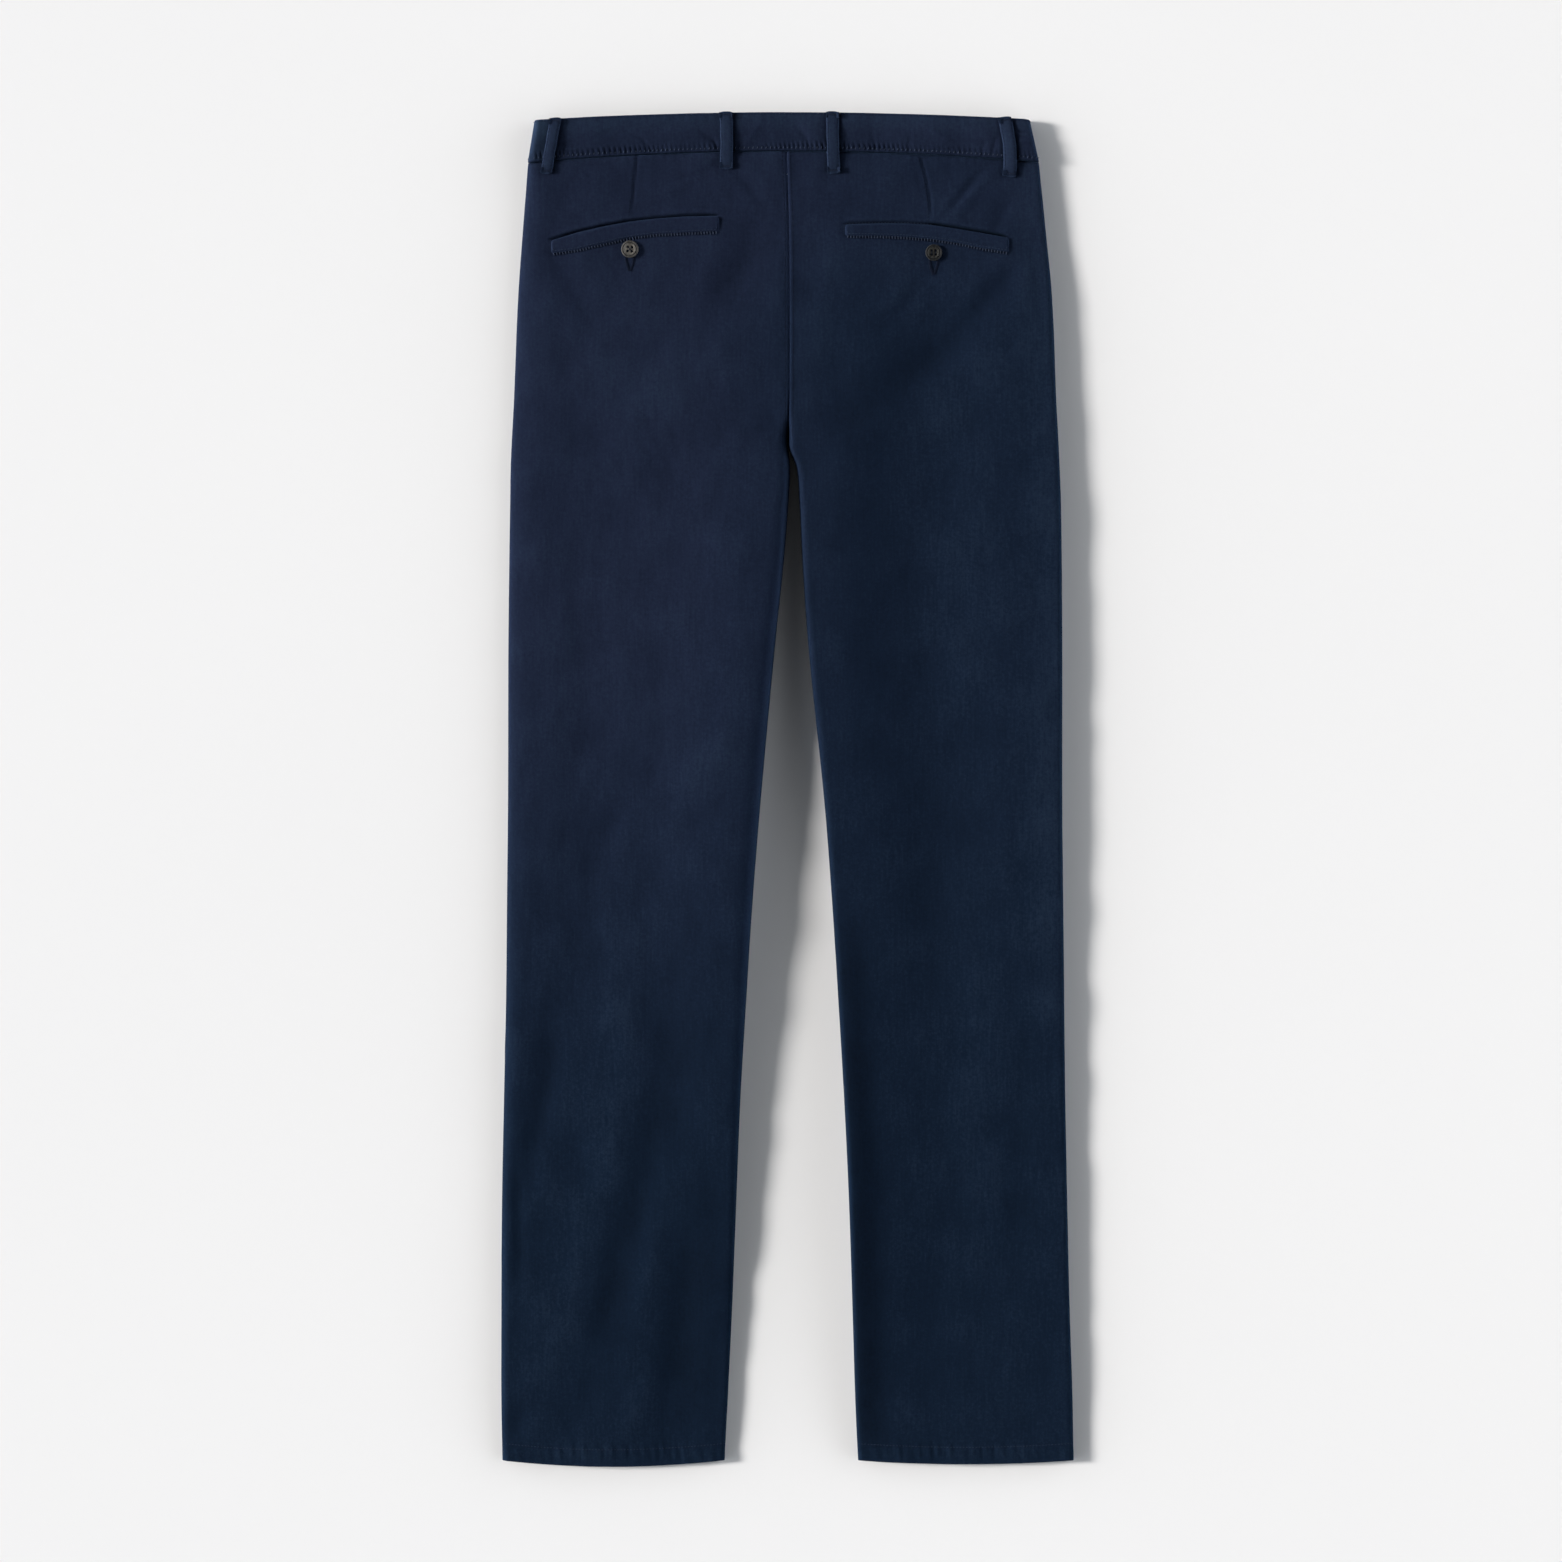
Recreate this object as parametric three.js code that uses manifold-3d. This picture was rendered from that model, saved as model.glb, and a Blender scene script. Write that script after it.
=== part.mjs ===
// Navy chino trousers, lying flat with the back side up and the waist towards +Y.
// Millimetres. X runs from the wearer's left to the wearer's right, and Z is up from the surface.
// The origin is on the surface, under the middle of the trousers.
import * as THREE from 'three';
import Module from 'manifold-3d';
import { mergeVertices } from 'three/addons/utils/BufferGeometryUtils.js';

const { lerp, smoothstep, degToRad } = THREE.MathUtils;

// Cloth and seams
const seamGap = 0.3;
const clothThickness = 2;
const hemThickness = 2.5;
const bandThickness = 3;
const outerLip = 10;
const innerLip = 9;

// Heights of the laid cloth over the surface
const foldHeight = 7.9;
const middleHeight = 6.6;
const bandEndHeight = 9.8;
const bandMiddleHeight = 7.4;

// Levels along Y
const sideSeamTop = 512;
const rollStartY = 314;
const forkY = 280;
const tuckLength = 14;
const lipEmergeLength = 16;
const hemLine = -530;
const hemEdgeY = -550.5;
const waistEaseY = 474;

// Waist curves: Y at the middle of the back, and how far each falls at the sides
const backSeamCrown = 521.3;
const backSeamFall = 9.5;
const bandTopCrown = 553.2;
const bandTopFall = 6.7;
const frontDrop = 18;
const waistHalfWidth = 210;

// The middle seam of the seat
const seatSeam = [
  { y: 521, x: -1.2 },
  { y: 483, x: 0.4 },
  { y: 457, x: 1.2 },
  { y: 367, x: 1.6 },
  { y: 311, x: 1.4 },
  { y: 280, x: 0.7 },
];

// Edges of each leg. Both are X as the trousers lie, and inner counts only below the fork.
const legEdges = {
  left: [
    { y: 512, outer: -212.6, inner: 0.7 },
    { y: 458, outer: -216.9, inner: 0.7 },
    { y: 400, outer: -221.0, inner: 0.7 },
    { y: 318, outer: -224.3, inner: 0.7 },
    { y: 280, outer: -226.3, inner: 0.7 },
    { y: 262, outer: -227.0, inner: 2.4 },
    { y: 236, outer: -227.4, inner: 1.2 },
    { y: 187, outer: -228.1, inner: -2.6 },
    { y: 113, outer: -228.9, inner: -10.3 },
    { y: -10, outer: -229.2, inner: -21.7 },
    { y: -92, outer: -230.0, inner: -28.3 },
    { y: -174, outer: -230.8, inner: -33.6 },
    { y: -256, outer: -232.5, inner: -38.4 },
    { y: -338, outer: -234.1, inner: -41.7 },
    { y: -420, outer: -234.6, inner: -44.9 },
    { y: -502, outer: -234.6, inner: -48.8 },
    { y: -556, outer: -233.6, inner: -51.6 },
  ],
  right: [
    { y: 512, outer: 206.0, inner: 0.7 },
    { y: 458, outer: 211.4, inner: 0.7 },
    { y: 400, outer: 216.9, inner: 0.7 },
    { y: 318, outer: 220.2, inner: 0.7 },
    { y: 280, outer: 222.2, inner: 0.7 },
    { y: 262, outer: 223.0, inner: 7.2 },
    { y: 236, outer: 224.0, inner: 9.4 },
    { y: 187, outer: 224.7, inner: 11.9 },
    { y: 113, outer: 225.1, inner: 17.2 },
    { y: -10, outer: 225.1, inner: 29.9 },
    { y: -92, outer: 225.9, inner: 36.3 },
    { y: -174, outer: 226.7, inner: 41.5 },
    { y: -256, outer: 227.6, inner: 46.3 },
    { y: -338, outer: 229.2, inner: 50.2 },
    { y: -420, outer: 231.0, inner: 52.9 },
    { y: -502, outer: 233.6, inner: 55.4 },
    { y: -556, outer: 234.4, inner: 57.9 },
  ],
};

// Hem edges bow down between their corners
const hemBow = { left: 5.2, right: 3.2 };

// Large soft folds: middle, direction in degrees from +X, half length, half width and height
const folds = {
  left: [
    { x: -150, y: 404, angle: -14, length: 70, width: 22, height: 0.8 },
    { x: -78, y: 497, angle: 38, length: 26, width: 12, height: -0.9 },
    { x: -46, y: 352, angle: 58, length: 80, width: 20, height: 0.7 },
    { x: -120, y: 292, angle: 8, length: 90, width: 26, height: -0.6 },
    { x: -188, y: 60, angle: 88, length: 190, width: 18, height: 0.8 },
    { x: -62, y: 122, angle: 80, length: 150, width: 20, height: 0.9 },
    { x: -128, y: -96, angle: 76, length: 90, width: 24, height: -0.6 },
    { x: -176, y: -330, angle: 94, length: 130, width: 20, height: -0.7 },
    { x: -98, y: -430, angle: 86, length: 90, width: 18, height: 0.6 },
  ],
  right: [
    { x: 138, y: 488, angle: 52, length: 34, width: 14, height: -0.9 },
    { x: 54, y: 368, angle: -64, length: 84, width: 20, height: 0.7 },
    { x: 128, y: 300, angle: -10, length: 80, width: 26, height: -0.6 },
    { x: 176, y: 96, angle: 92, length: 170, width: 20, height: 0.8 },
    { x: 76, y: 40, angle: 102, length: 140, width: 18, height: 0.7 },
    { x: 132, y: -170, angle: 86, length: 110, width: 24, height: -0.6 },
    { x: 186, y: -392, angle: 84, length: 110, width: 18, height: 0.6 },
    { x: 104, y: -452, angle: 96, length: 70, width: 18, height: -0.6 },
  ],
};

// Back pocket welts: top and bottom edge at each place along X
const welts = {
  left: [
    { x: -193.2, top: 447.8, bottom: 437.4 },
    { x: -171.8, top: 454.3, bottom: 440.2 },
    { x: -150.5, top: 459.2, bottom: 445.3 },
    { x: -130.0, top: 463.0, bottom: 449.8 },
    { x: -108.7, top: 465.5, bottom: 452.8 },
    { x: -82.4, top: 467.5, bottom: 454.2 },
    { x: -56.4, top: 467.9, bottom: 455.1 },
  ],
  right: [
    { x: 47.4, top: 460.8, bottom: 451.6 },
    { x: 76.7, top: 461.7, bottom: 451.6 },
    { x: 97.0, top: 461.7, bottom: 450.8 },
    { x: 118.5, top: 460.4, bottom: 449.0 },
    { x: 139.8, top: 457.2, bottom: 445.8 },
    { x: 160.3, top: 453.6, bottom: 441.4 },
    { x: 181.0, top: 449.9, bottom: 437.9 },
  ],
};
const weltThickness = 1;

// Buttons: middle, diameter and turn of the four holes
const buttonHeight = 2.6;
const pocketButtons = {
  left: { x: -129.4, y: 441.2, diameter: 14.8, turn: -14 },
  right: { x: 120.4, y: 438.4, diameter: 14.2, turn: 0 },
};
const waistButton = { fromMiddle: 16, diameter: 17, height: 2 };
const buttonSegments = 20;
const buttonHoleRadius = 0.9;
const buttonHoleSpacing = 3.3;

// Belt loops on the back: X at the band's top edge and at the lower end, width, and how far
// each reaches below the waist seam
const loopWidth = 10.5;
const loopThickness = 1.3;
const loopLift = 1.8;
const loopAboveBand = 0.8;
const backLoops = {
  belt_loop_left_side: { topX: -189.7, bottomX: -197.6, width: 9.4, below: 10.5 },
  belt_loop_left_back: { topX: -50.4, bottomX: -50.2, width: 11, below: 14.4 },
  belt_loop_right_back: { topX: 36.9, bottomX: 38.1, width: 11, below: 18.3 },
  belt_loop_right_side: { topX: 177.3, bottomX: 181.6, width: 11.4, below: 14.3 },
};
const frontLoops = {
  belt_loop_left_front: { x: -112 },
  belt_loop_right_front: { x: 108 },
};
const frontLoopThickness = 1.2;
const frontLoopInset = 0.8;
const frontLoopBelow = 10;

// Fly placket: a strip beside the middle of the front, rounded at its lower end
const flyWidth = 38;
const flyEndY = 330;
const flyRoundSteps = 8;
const flyRoundAngle = 1.38;

// The waistband's rounded ends, at its lower and upper edge, and its meeting at the front
const bandEnds = {
  left: { bottom: -212.8, top: -207.2 },
  right: { bottom: 206.2, top: 198.4 },
};
const bandMiddleX = -1.2;

// Rows across a welt, columns across a belt loop: how far the face steps down at the edges
const weltRows = [
  { share: 0, step: 0.4 },
  { share: 0.12, step: 0 },
  { share: 0.88, step: 0 },
  { share: 1, step: 0.4 },
];
const loopColumns = [
  { across: -1, step: 0.4 },
  { across: -0.8, step: 0 },
  { across: 0.8, step: 0 },
  { across: 1, step: 0.4 },
];

// Mesh detail
const frontSteps = 8;
const flySteps = 3;
const weltSteps = 14;
const loopSteps = 10;
const foldSteps = 8;
const topSteps = 9;
const bandEndSteps = 6;
const bandTopSteps = 24;
const bandFrontSteps = 12;

const wasm = await Module();
wasm.setup();

// Tables and curves

// Value of a column at y, on a smooth curve through the rows, which run downwards.
function valueAt(rows, column, y) {
  const last = rows.length - 1;
  if (y >= rows[0].y) return rows[0][column];
  if (y <= rows[last].y) return rows[last][column];
  let i = 0;
  while (rows[i + 1].y > y) i += 1;
  const slope = (k) => {
    const before = rows[Math.max(k - 1, 0)];
    const after = rows[Math.min(k + 1, last)];
    return (after[column] - before[column]) / (after.y - before.y);
  };
  const span = rows[i + 1].y - rows[i].y;
  const t = (y - rows[i].y) / span;
  const t2 = t * t;
  const t3 = t2 * t;
  return rows[i][column] * (2 * t3 - 3 * t2 + 1) + slope(i) * span * (t3 - 2 * t2 + t)
    + rows[i + 1][column] * (3 * t2 - 2 * t3) + slope(i + 1) * span * (t3 - t2);
}

// Value of a column at x in rows that run along X, straight between rows.
function valueAlong(rows, column, x) {
  let i = 0;
  while (i < rows.length - 2 && rows[i + 1].x < x) i += 1;
  return lerp(rows[i][column], rows[i + 1][column], (x - rows[i].x) / (rows[i + 1].x - rows[i].x));
}

function ramp(value, from, to) {
  return smoothstep((value - from) / (to - from), 0, 1);
}

// Y of the waist seam and of the band's top edge. front is 0 on the back and 1 on the front.
function waistSeamY(x, front) {
  const across = Math.min((x / waistHalfWidth) ** 2, 1);
  return backSeamCrown - backSeamFall * across - front * frontDrop * (1 - across) ** 2;
}

function bandTopY(x, front) {
  const across = Math.min((x / waistHalfWidth) ** 2, 1);
  return bandTopCrown - bandTopFall * across - front * frontDrop * (1 - across) ** 2;
}

// The waist end and the hem end of a panel follow their curves, and the cloth between eases into them.
function easedY(side, x, y, front) {
  const atWaist = ramp(y, waistEaseY, sideSeamTop);
  const atHem = ramp(y, hemLine + 60, hemEdgeY);
  const outer = valueAt(legEdges[side], 'outer', y);
  const inner = valueAt(legEdges[side], 'inner', y);
  const across = (2 * x - outer - inner) / (outer - inner);
  const bow = hemBow[side] * (1 - Math.min(across * across, 1));
  return y + atWaist * (waistSeamY(x, front) - seamGap - sideSeamTop) - atHem * bow;
}

// Soft folds raise or sink the upper cloth.
function foldRise(side, x, y) {
  let rise = 0;
  for (const fold of folds[side]) {
    const angle = degToRad(fold.angle);
    const along = (x - fold.x) * Math.cos(angle) + (y - fold.y) * Math.sin(angle);
    const across = (y - fold.y) * Math.cos(angle) - (x - fold.x) * Math.sin(angle);
    rise += fold.height * Math.exp(-((along / fold.length) ** 2) - (across / fold.width) ** 2);
  }
  return rise;
}

// Panels

function panelLevels() {
  const levels = [];
  const add = (from, to, steps) => {
    for (let k = 1; k <= steps; k += 1) levels.push(lerp(from, to, k / steps));
  };
  levels.push(sideSeamTop);
  add(sideSeamTop, waistEaseY, 2);
  add(waistEaseY, rollStartY, 6);
  add(rollStartY, forkY, 3);
  add(forkY, forkY - tuckLength, 4);
  add(forkY - tuckLength, forkY - tuckLength - lipEmergeLength, 2);
  add(forkY - tuckLength - lipEmergeLength, hemLine, 13);
  add(hemLine, hemEdgeY, 2);
  return levels;
}

function thicknessAt(y) {
  return lerp(hemThickness, clothThickness, ramp(y, hemLine - 2, hemLine + 8));
}

// How the inner edge of a back panel turns under at a level: it is nearly flat along the seat seam,
// rolls down to the fork, and below it goes right round to the inseam on the underside.
function innerTurn(y) {
  const flat = degToRad(18);
  const down = degToRad(90);
  const under = degToRad(180);
  if (y >= forkY) return { sweep: lerp(down, flat, ramp(y, forkY, rollStartY)), lip: 0 };
  const tucked = forkY - tuckLength;
  const sweep = lerp(under, down, Math.max((y - tucked) / tuckLength, 0));
  const lip = innerLip * ramp(y, tucked, tucked - lipEmergeLength);
  return { sweep: Math.min(sweep, under), lip };
}

// X of a panel's inner edge: the seat seam above the fork, the leg's own edge below it.
function innerEdge(side, y) {
  const direction = side === 'left' ? -1 : 1;
  if (y >= forkY) return valueAt(seatSeam, 'x', y) + direction * seamGap / 2;
  return valueAt(legEdges[side], 'inner', y) + direction * seamGap / 2;
}

// Points of one turned edge, from the upper cloth round to the end of the lip on the underside.
// edge is the place of the fold along a, and direction is the way that the cloth runs to it.
// inA and inZ point into the cloth.
function turnedEdge(edge, direction, height, sweep, lip) {
  const radius = height / 2;
  const length = radius * Math.PI + outerLip;
  const runIn = length - radius * sweep - lip;
  const start = edge - direction * (radius * Math.sin(Math.min(sweep, Math.PI / 2)) + runIn);
  const points = [];
  for (let k = 0; k <= foldSteps; k += 1) {
    const distance = length * k / foldSteps;
    const angle = Math.min(Math.max((distance - runIn) / radius, 0), sweep);
    const straight = Math.min(distance, runIn);
    const beyond = Math.max(distance - runIn - radius * sweep, 0);
    points.push({
      a: start + direction * (straight + radius * Math.sin(angle) + beyond * Math.cos(sweep)),
      z: height - radius * (1 - Math.cos(angle)) - beyond * Math.sin(sweep),
      inA: -direction * Math.sin(angle),
      inZ: -Math.cos(angle),
    });
  }
  return points;
}

// Outer line of a back panel at a level, from the outseam on the underside over the top.
// a counts away from the middle of the trousers, so it is -X on the left side.
function backSection(side, y) {
  const mirror = side === 'left' ? -1 : 1;
  const outer = mirror * valueAt(legEdges[side], 'outer', y);
  const inner = mirror * innerEdge(side, y);
  const turn = innerTurn(y);
  const outerPoints = turnedEdge(outer, 1, foldHeight, Math.PI, outerLip).reverse();
  const innerPoints = turnedEdge(inner, -1, foldHeight, turn.sweep, turn.lip);
  const from = outerPoints[outerPoints.length - 1];
  const to = innerPoints[0];
  const points = [...outerPoints];
  for (let k = 1; k < topSteps; k += 1) {
    const u = k / topSteps;
    points.push({ a: lerp(from.a, to.a, u), z: foldHeight, inA: 0, inZ: -1 });
  }
  points.push(...innerPoints);
  const width = outer - inner;
  return points.map(({ a, z, inA, inZ }) => {
    const x = mirror * a;
    const u = Math.min(Math.max((a - inner) / width, 0), 1);
    const awayFromFolds = 1 - Math.abs(2 * u - 1) ** 3;
    const sink = awayFromFolds * (foldHeight - middleHeight - foldRise(side, x, y));
    return { x, z: z - ramp(z, foldHeight / 2, foldHeight) * sink, inX: mirror * inA, inZ };
  });
}

// Share of the front in the level of a point, from the height part of its inward normal: 1 on the
// underside, where that is 1, and 0 on top, where it is -1.
function frontShare(inZ) {
  return (1 + inZ) / 2;
}

function backGrids(side) {
  const outerGrid = [];
  const innerGrid = [];
  for (const y of panelLevels()) {
    const thickness = thicknessAt(y);
    const outer = [];
    const inner = [];
    for (const { x, z, inX, inZ } of backSection(side, y)) {
      const place = (depth) => {
        const across = x + inX * depth;
        return new THREE.Vector3(across, easedY(side, across, y, frontShare(inZ)), z + inZ * depth);
      };
      outer.push(place(0));
      inner.push(place(thickness));
    }
    outerGrid.push(outer);
    innerGrid.push(inner);
  }
  return { outerGrid, innerGrid };
}

// Levels of the fly placket, down its straight edge and round its lower end.
function flyLevels() {
  const straightEnd = flyEndY + flyWidth;
  const levels = panelLevels().filter((y) => y > straightEnd);
  for (let k = 0; k <= flyRoundSteps; k += 1) {
    levels.push(straightEnd - flyWidth * Math.sin(flyRoundAngle * k / flyRoundSteps));
  }
  return levels;
}

// Width of a strip with a round lower end at a level, where the round's centre is flyWidth above
// the placket's end.
function roundedWidth(y, width) {
  const below = Math.max(flyEndY + flyWidth - y, 0);
  return below >= width ? 0 : Math.sqrt(width ** 2 - below ** 2);
}

function flyBluntEnd() {
  const levels = flyLevels();
  return levels[levels.length - 1];
}

// Inner edge of a front panel: the middle of the front, or the fly placket, above the fork, and the
// inseam below it.
function frontInnerEdge(side, y) {
  const mirror = side === 'left' ? -1 : 1;
  if (y >= forkY) {
    const middle = valueAt(seatSeam, 'x', y) + mirror * seamGap / 2;
    if (side === 'right' || y < flyBluntEnd() - 1.5 * seamGap) return middle;
    return middle - roundedWidth(y, flyWidth + seamGap);
  }
  const inseam = innerEdge(side, y) + mirror * (foldHeight / 2 + innerTurn(y).lip + seamGap);
  return lerp(innerEdge(side, y), inseam, Math.min((forkY - y) / (tuckLength / 4), 1));
}

// A flat grid of points on the underside and its copy one thickness up, between two edges.
function flatGrids(side, levels, outerEdge, innerEdgeAt, steps) {
  const lowerGrid = [];
  const upperGrid = [];
  for (const y of levels) {
    const lower = [];
    for (let k = 0; k <= steps; k += 1) {
      const x = lerp(outerEdge(y), innerEdgeAt(y), k / steps);
      lower.push(new THREE.Vector3(x, easedY(side, x, y, 1), 0));
    }
    const thickness = thicknessAt(y);
    lowerGrid.push(lower);
    upperGrid.push(lower.map((point) => new THREE.Vector3(point.x, point.y, thickness)));
  }
  return { outerGrid: lowerGrid, innerGrid: upperGrid };
}

function frontGrids(side) {
  const mirror = side === 'left' ? -1 : 1;
  const inset = foldHeight / 2 + outerLip + seamGap;
  const levels = new Set(panelLevels());
  if (side === 'left') {
    const last = flyBluntEnd();
    for (const y of [...flyLevels(), last - seamGap, last - 2 * seamGap]) levels.add(y);
  }
  const sorted = [...levels].sort((a, b) => b - a);
  const outerEdge = (y) => valueAt(legEdges[side], 'outer', y) - mirror * inset;
  return flatGrids(side, sorted, outerEdge, (y) => frontInnerEdge(side, y), frontSteps);
}

function flyGrids() {
  const middle = (y) => valueAt(seatSeam, 'x', y) - seamGap / 2;
  return flatGrids('left', flyLevels(), (y) => middle(y) - roundedWidth(y, flyWidth), middle, flySteps);
}

// Waistband

// Where the band's top run starts and ends at one share of its width.
function bandRun(share) {
  const radius = bandEndHeight / 2;
  return {
    left: lerp(bandEnds.left.bottom, bandEnds.left.top, share) + radius,
    right: lerp(bandEnds.right.bottom, bandEnds.right.top, share) - radius,
    radius,
  };
}

function bandHeightAt(x, share) {
  const { left, right } = bandRun(share);
  const across = Math.min(Math.abs(2 * x - left - right) / (right - left), 1);
  return lerp(bandMiddleHeight, bandEndHeight, across ** 4);
}

// The line round the band at one share of its width, from the middle of the front under the right
// side, over the back and under the left side. angle is how far the cloth has turned.
function bandLine(share) {
  const { left, right, radius } = bandRun(share);
  const points = [];
  for (let k = 0; k < bandFrontSteps; k += 1) {
    points.push({ x: lerp(bandMiddleX + seamGap / 2, right, k / bandFrontSteps), z: 0, angle: 0 });
  }
  for (let k = 0; k < bandEndSteps; k += 1) {
    const angle = Math.PI * k / bandEndSteps;
    points.push({ x: right + radius * Math.sin(angle), z: radius * (1 - Math.cos(angle)), angle });
  }
  for (let k = 0; k < bandTopSteps; k += 1) {
    const x = lerp(right, left, k / bandTopSteps);
    points.push({ x, z: bandHeightAt(x, share), angle: Math.PI });
  }
  for (let k = 0; k < bandEndSteps; k += 1) {
    const angle = Math.PI * (1 + k / bandEndSteps);
    points.push({ x: left + radius * Math.sin(angle), z: radius * (1 - Math.cos(angle)), angle });
  }
  for (let k = 0; k <= bandFrontSteps; k += 1) {
    points.push({ x: lerp(left, bandMiddleX - seamGap / 2, k / bandFrontSteps), z: 0, angle: 0 });
  }
  return points;
}

// Rows across the band: share of its width, and how far the face steps in at its rounded edges.
const bandRows = [
  { share: 0, step: 0.6 },
  { share: 0.04, step: 0 },
  { share: 0.5, step: 0 },
  { share: 0.95, step: 0 },
  { share: 1, step: 0.9 },
];

function bandGrids() {
  const outerGrid = [];
  const innerGrid = [];
  for (const { share, step } of bandRows) {
    const outer = [];
    const inner = [];
    for (const { x, z, angle } of bandLine(share)) {
      const front = frontShare(Math.cos(angle));
      const place = (depth) => {
        const across = x - Math.sin(angle) * depth;
        const y = lerp(waistSeamY(across, front), bandTopY(across, front), share);
        return new THREE.Vector3(across, y, z + Math.cos(angle) * depth);
      };
      outer.push(place(z === 0 ? 0 : step));
      inner.push(place(bandThickness));
    }
    outerGrid.push(outer);
    innerGrid.push(inner);
  }
  return { outerGrid, innerGrid };
}

// Solids

// A closed wall between two grids of points with the same rows and columns.
function wallBetween({ outerGrid, innerGrid }) {
  const rows = outerGrid.length;
  const columns = outerGrid[0].length;
  const positions = [];
  for (const grid of [outerGrid, innerGrid]) {
    for (const row of grid) for (const point of row) positions.push(point.x, point.y, point.z);
  }
  const outer = (i, j) => i * columns + j;
  const inner = (i, j) => rows * columns + i * columns + j;
  const index = [];
  const quad = (a, b, c, d) => index.push(a, b, c, a, c, d);
  for (let i = 0; i < rows - 1; i += 1) {
    for (let j = 0; j < columns - 1; j += 1) {
      quad(outer(i, j), outer(i, j + 1), outer(i + 1, j + 1), outer(i + 1, j));
      quad(inner(i, j), inner(i + 1, j), inner(i + 1, j + 1), inner(i, j + 1));
    }
    const last = columns - 1;
    quad(outer(i, 0), outer(i + 1, 0), inner(i + 1, 0), inner(i, 0));
    quad(outer(i, last), inner(i, last), inner(i + 1, last), outer(i + 1, last));
  }
  for (let j = 0; j < columns - 1; j += 1) {
    const last = rows - 1;
    quad(outer(0, j), inner(0, j), inner(0, j + 1), outer(0, j + 1));
    quad(outer(last, j), outer(last, j + 1), inner(last, j + 1), inner(last, j));
  }
  const geometry = new THREE.BufferGeometry();
  geometry.setAttribute('position', new THREE.Float32BufferAttribute(positions, 3));
  geometry.setIndex(index);
  return facingOut(geometry);
}

function facingOut(geometry) {
  const index = geometry.index;
  if (signedVolume(geometry) > 0) return geometry;
  for (let k = 0; k < index.count; k += 3) {
    const second = index.getX(k + 1);
    index.setX(k + 1, index.getX(k + 2));
    index.setX(k + 2, second);
  }
  return geometry;
}

function signedVolume(geometry) {
  const index = geometry.index;
  const position = geometry.attributes.position;
  const corners = [new THREE.Vector3(), new THREE.Vector3(), new THREE.Vector3()];
  let volume = 0;
  for (let k = 0; k < index.count; k += 3) {
    corners.forEach((corner, c) => corner.fromBufferAttribute(position, index.getX(k + c)));
    volume += corners[0].dot(corners[1].cross(corners[2])) / 6;
  }
  return volume;
}

function toSolid(geometry) {
  const bare = geometry.clone();
  bare.deleteAttribute('normal');
  bare.deleteAttribute('uv');
  const merged = mergeVertices(bare, 1e-3);
  return new wasm.Manifold(new wasm.Mesh({
    numProp: 3,
    vertProperties: new Float32Array(merged.attributes.position.array),
    triVerts: new Uint32Array(merged.index.array),
  }));
}

function toGeometry(solid) {
  const mesh = solid.getMesh();
  const geometry = new THREE.BufferGeometry();
  geometry.setAttribute('position', new THREE.BufferAttribute(new Float32Array(mesh.vertProperties), 3));
  geometry.setIndex(new THREE.BufferAttribute(new Uint32Array(mesh.triVerts), 1));
  return geometry;
}

function cutAway(geometry, cutters) {
  return toGeometry(cutters.reduce((solid, cutter) => solid.subtract(toSolid(cutter)), toSolid(geometry)));
}

// Height of the upper cloth at a place, read from a back panel's own points.
function panelHeightAt(outerGrid, x, y) {
  const along = (row) => {
    const top = row.filter((point) => point.z > foldHeight / 2).sort((a, b) => a.x - b.x);
    let k = 0;
    while (k < top.length - 2 && top[k + 1].x < x) k += 1;
    const t = (x - top[k].x) / (top[k + 1].x - top[k].x);
    return { y: lerp(top[k].y, top[k + 1].y, t), z: lerp(top[k].z, top[k + 1].z, t) };
  };
  let upper = along(outerGrid[0]);
  for (let i = 1; i < outerGrid.length; i += 1) {
    const lower = along(outerGrid[i]);
    if (lower.y <= y) return lerp(lower.z, upper.z, (y - lower.y) / (upper.y - lower.y));
    upper = lower;
  }
  return upper.z;
}

// A pocket welt lies on its back panel: each point is the panel's point, moved out.
function weltGrids(side, panel) {
  const rows = welts[side];
  const first = rows[0].x;
  const last = rows[rows.length - 1].x;
  const grids = { outerGrid: [], innerGrid: [] };
  for (let i = 0; i <= weltSteps; i += 1) {
    const x = lerp(first, last, i / weltSteps);
    const top = valueAlong(rows, 'top', x);
    const bottom = valueAlong(rows, 'bottom', x);
    const outer = [];
    const inner = [];
    for (const { share, step } of weltRows) {
      const y = lerp(bottom, top, share);
      const z = panelHeightAt(panel.outerGrid, x, y) + seamGap;
      inner.push(new THREE.Vector3(x, y, z));
      outer.push(new THREE.Vector3(x, y, z + weltThickness - step));
    }
    grids.outerGrid.push(outer);
    grids.innerGrid.push(inner);
  }
  return grids;
}

// Height of what a belt loop lies on: the band, then the panel below its seam.
function loopSeatHeight(panel, x, y) {
  const seam = waistSeamY(x, 0);
  const onBand = bandHeightAt(x, 1);
  const onPanel = panelHeightAt(panel.outerGrid, x, y);
  return lerp(onPanel, onBand, ramp(y, seam - 4, seam));
}

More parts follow.
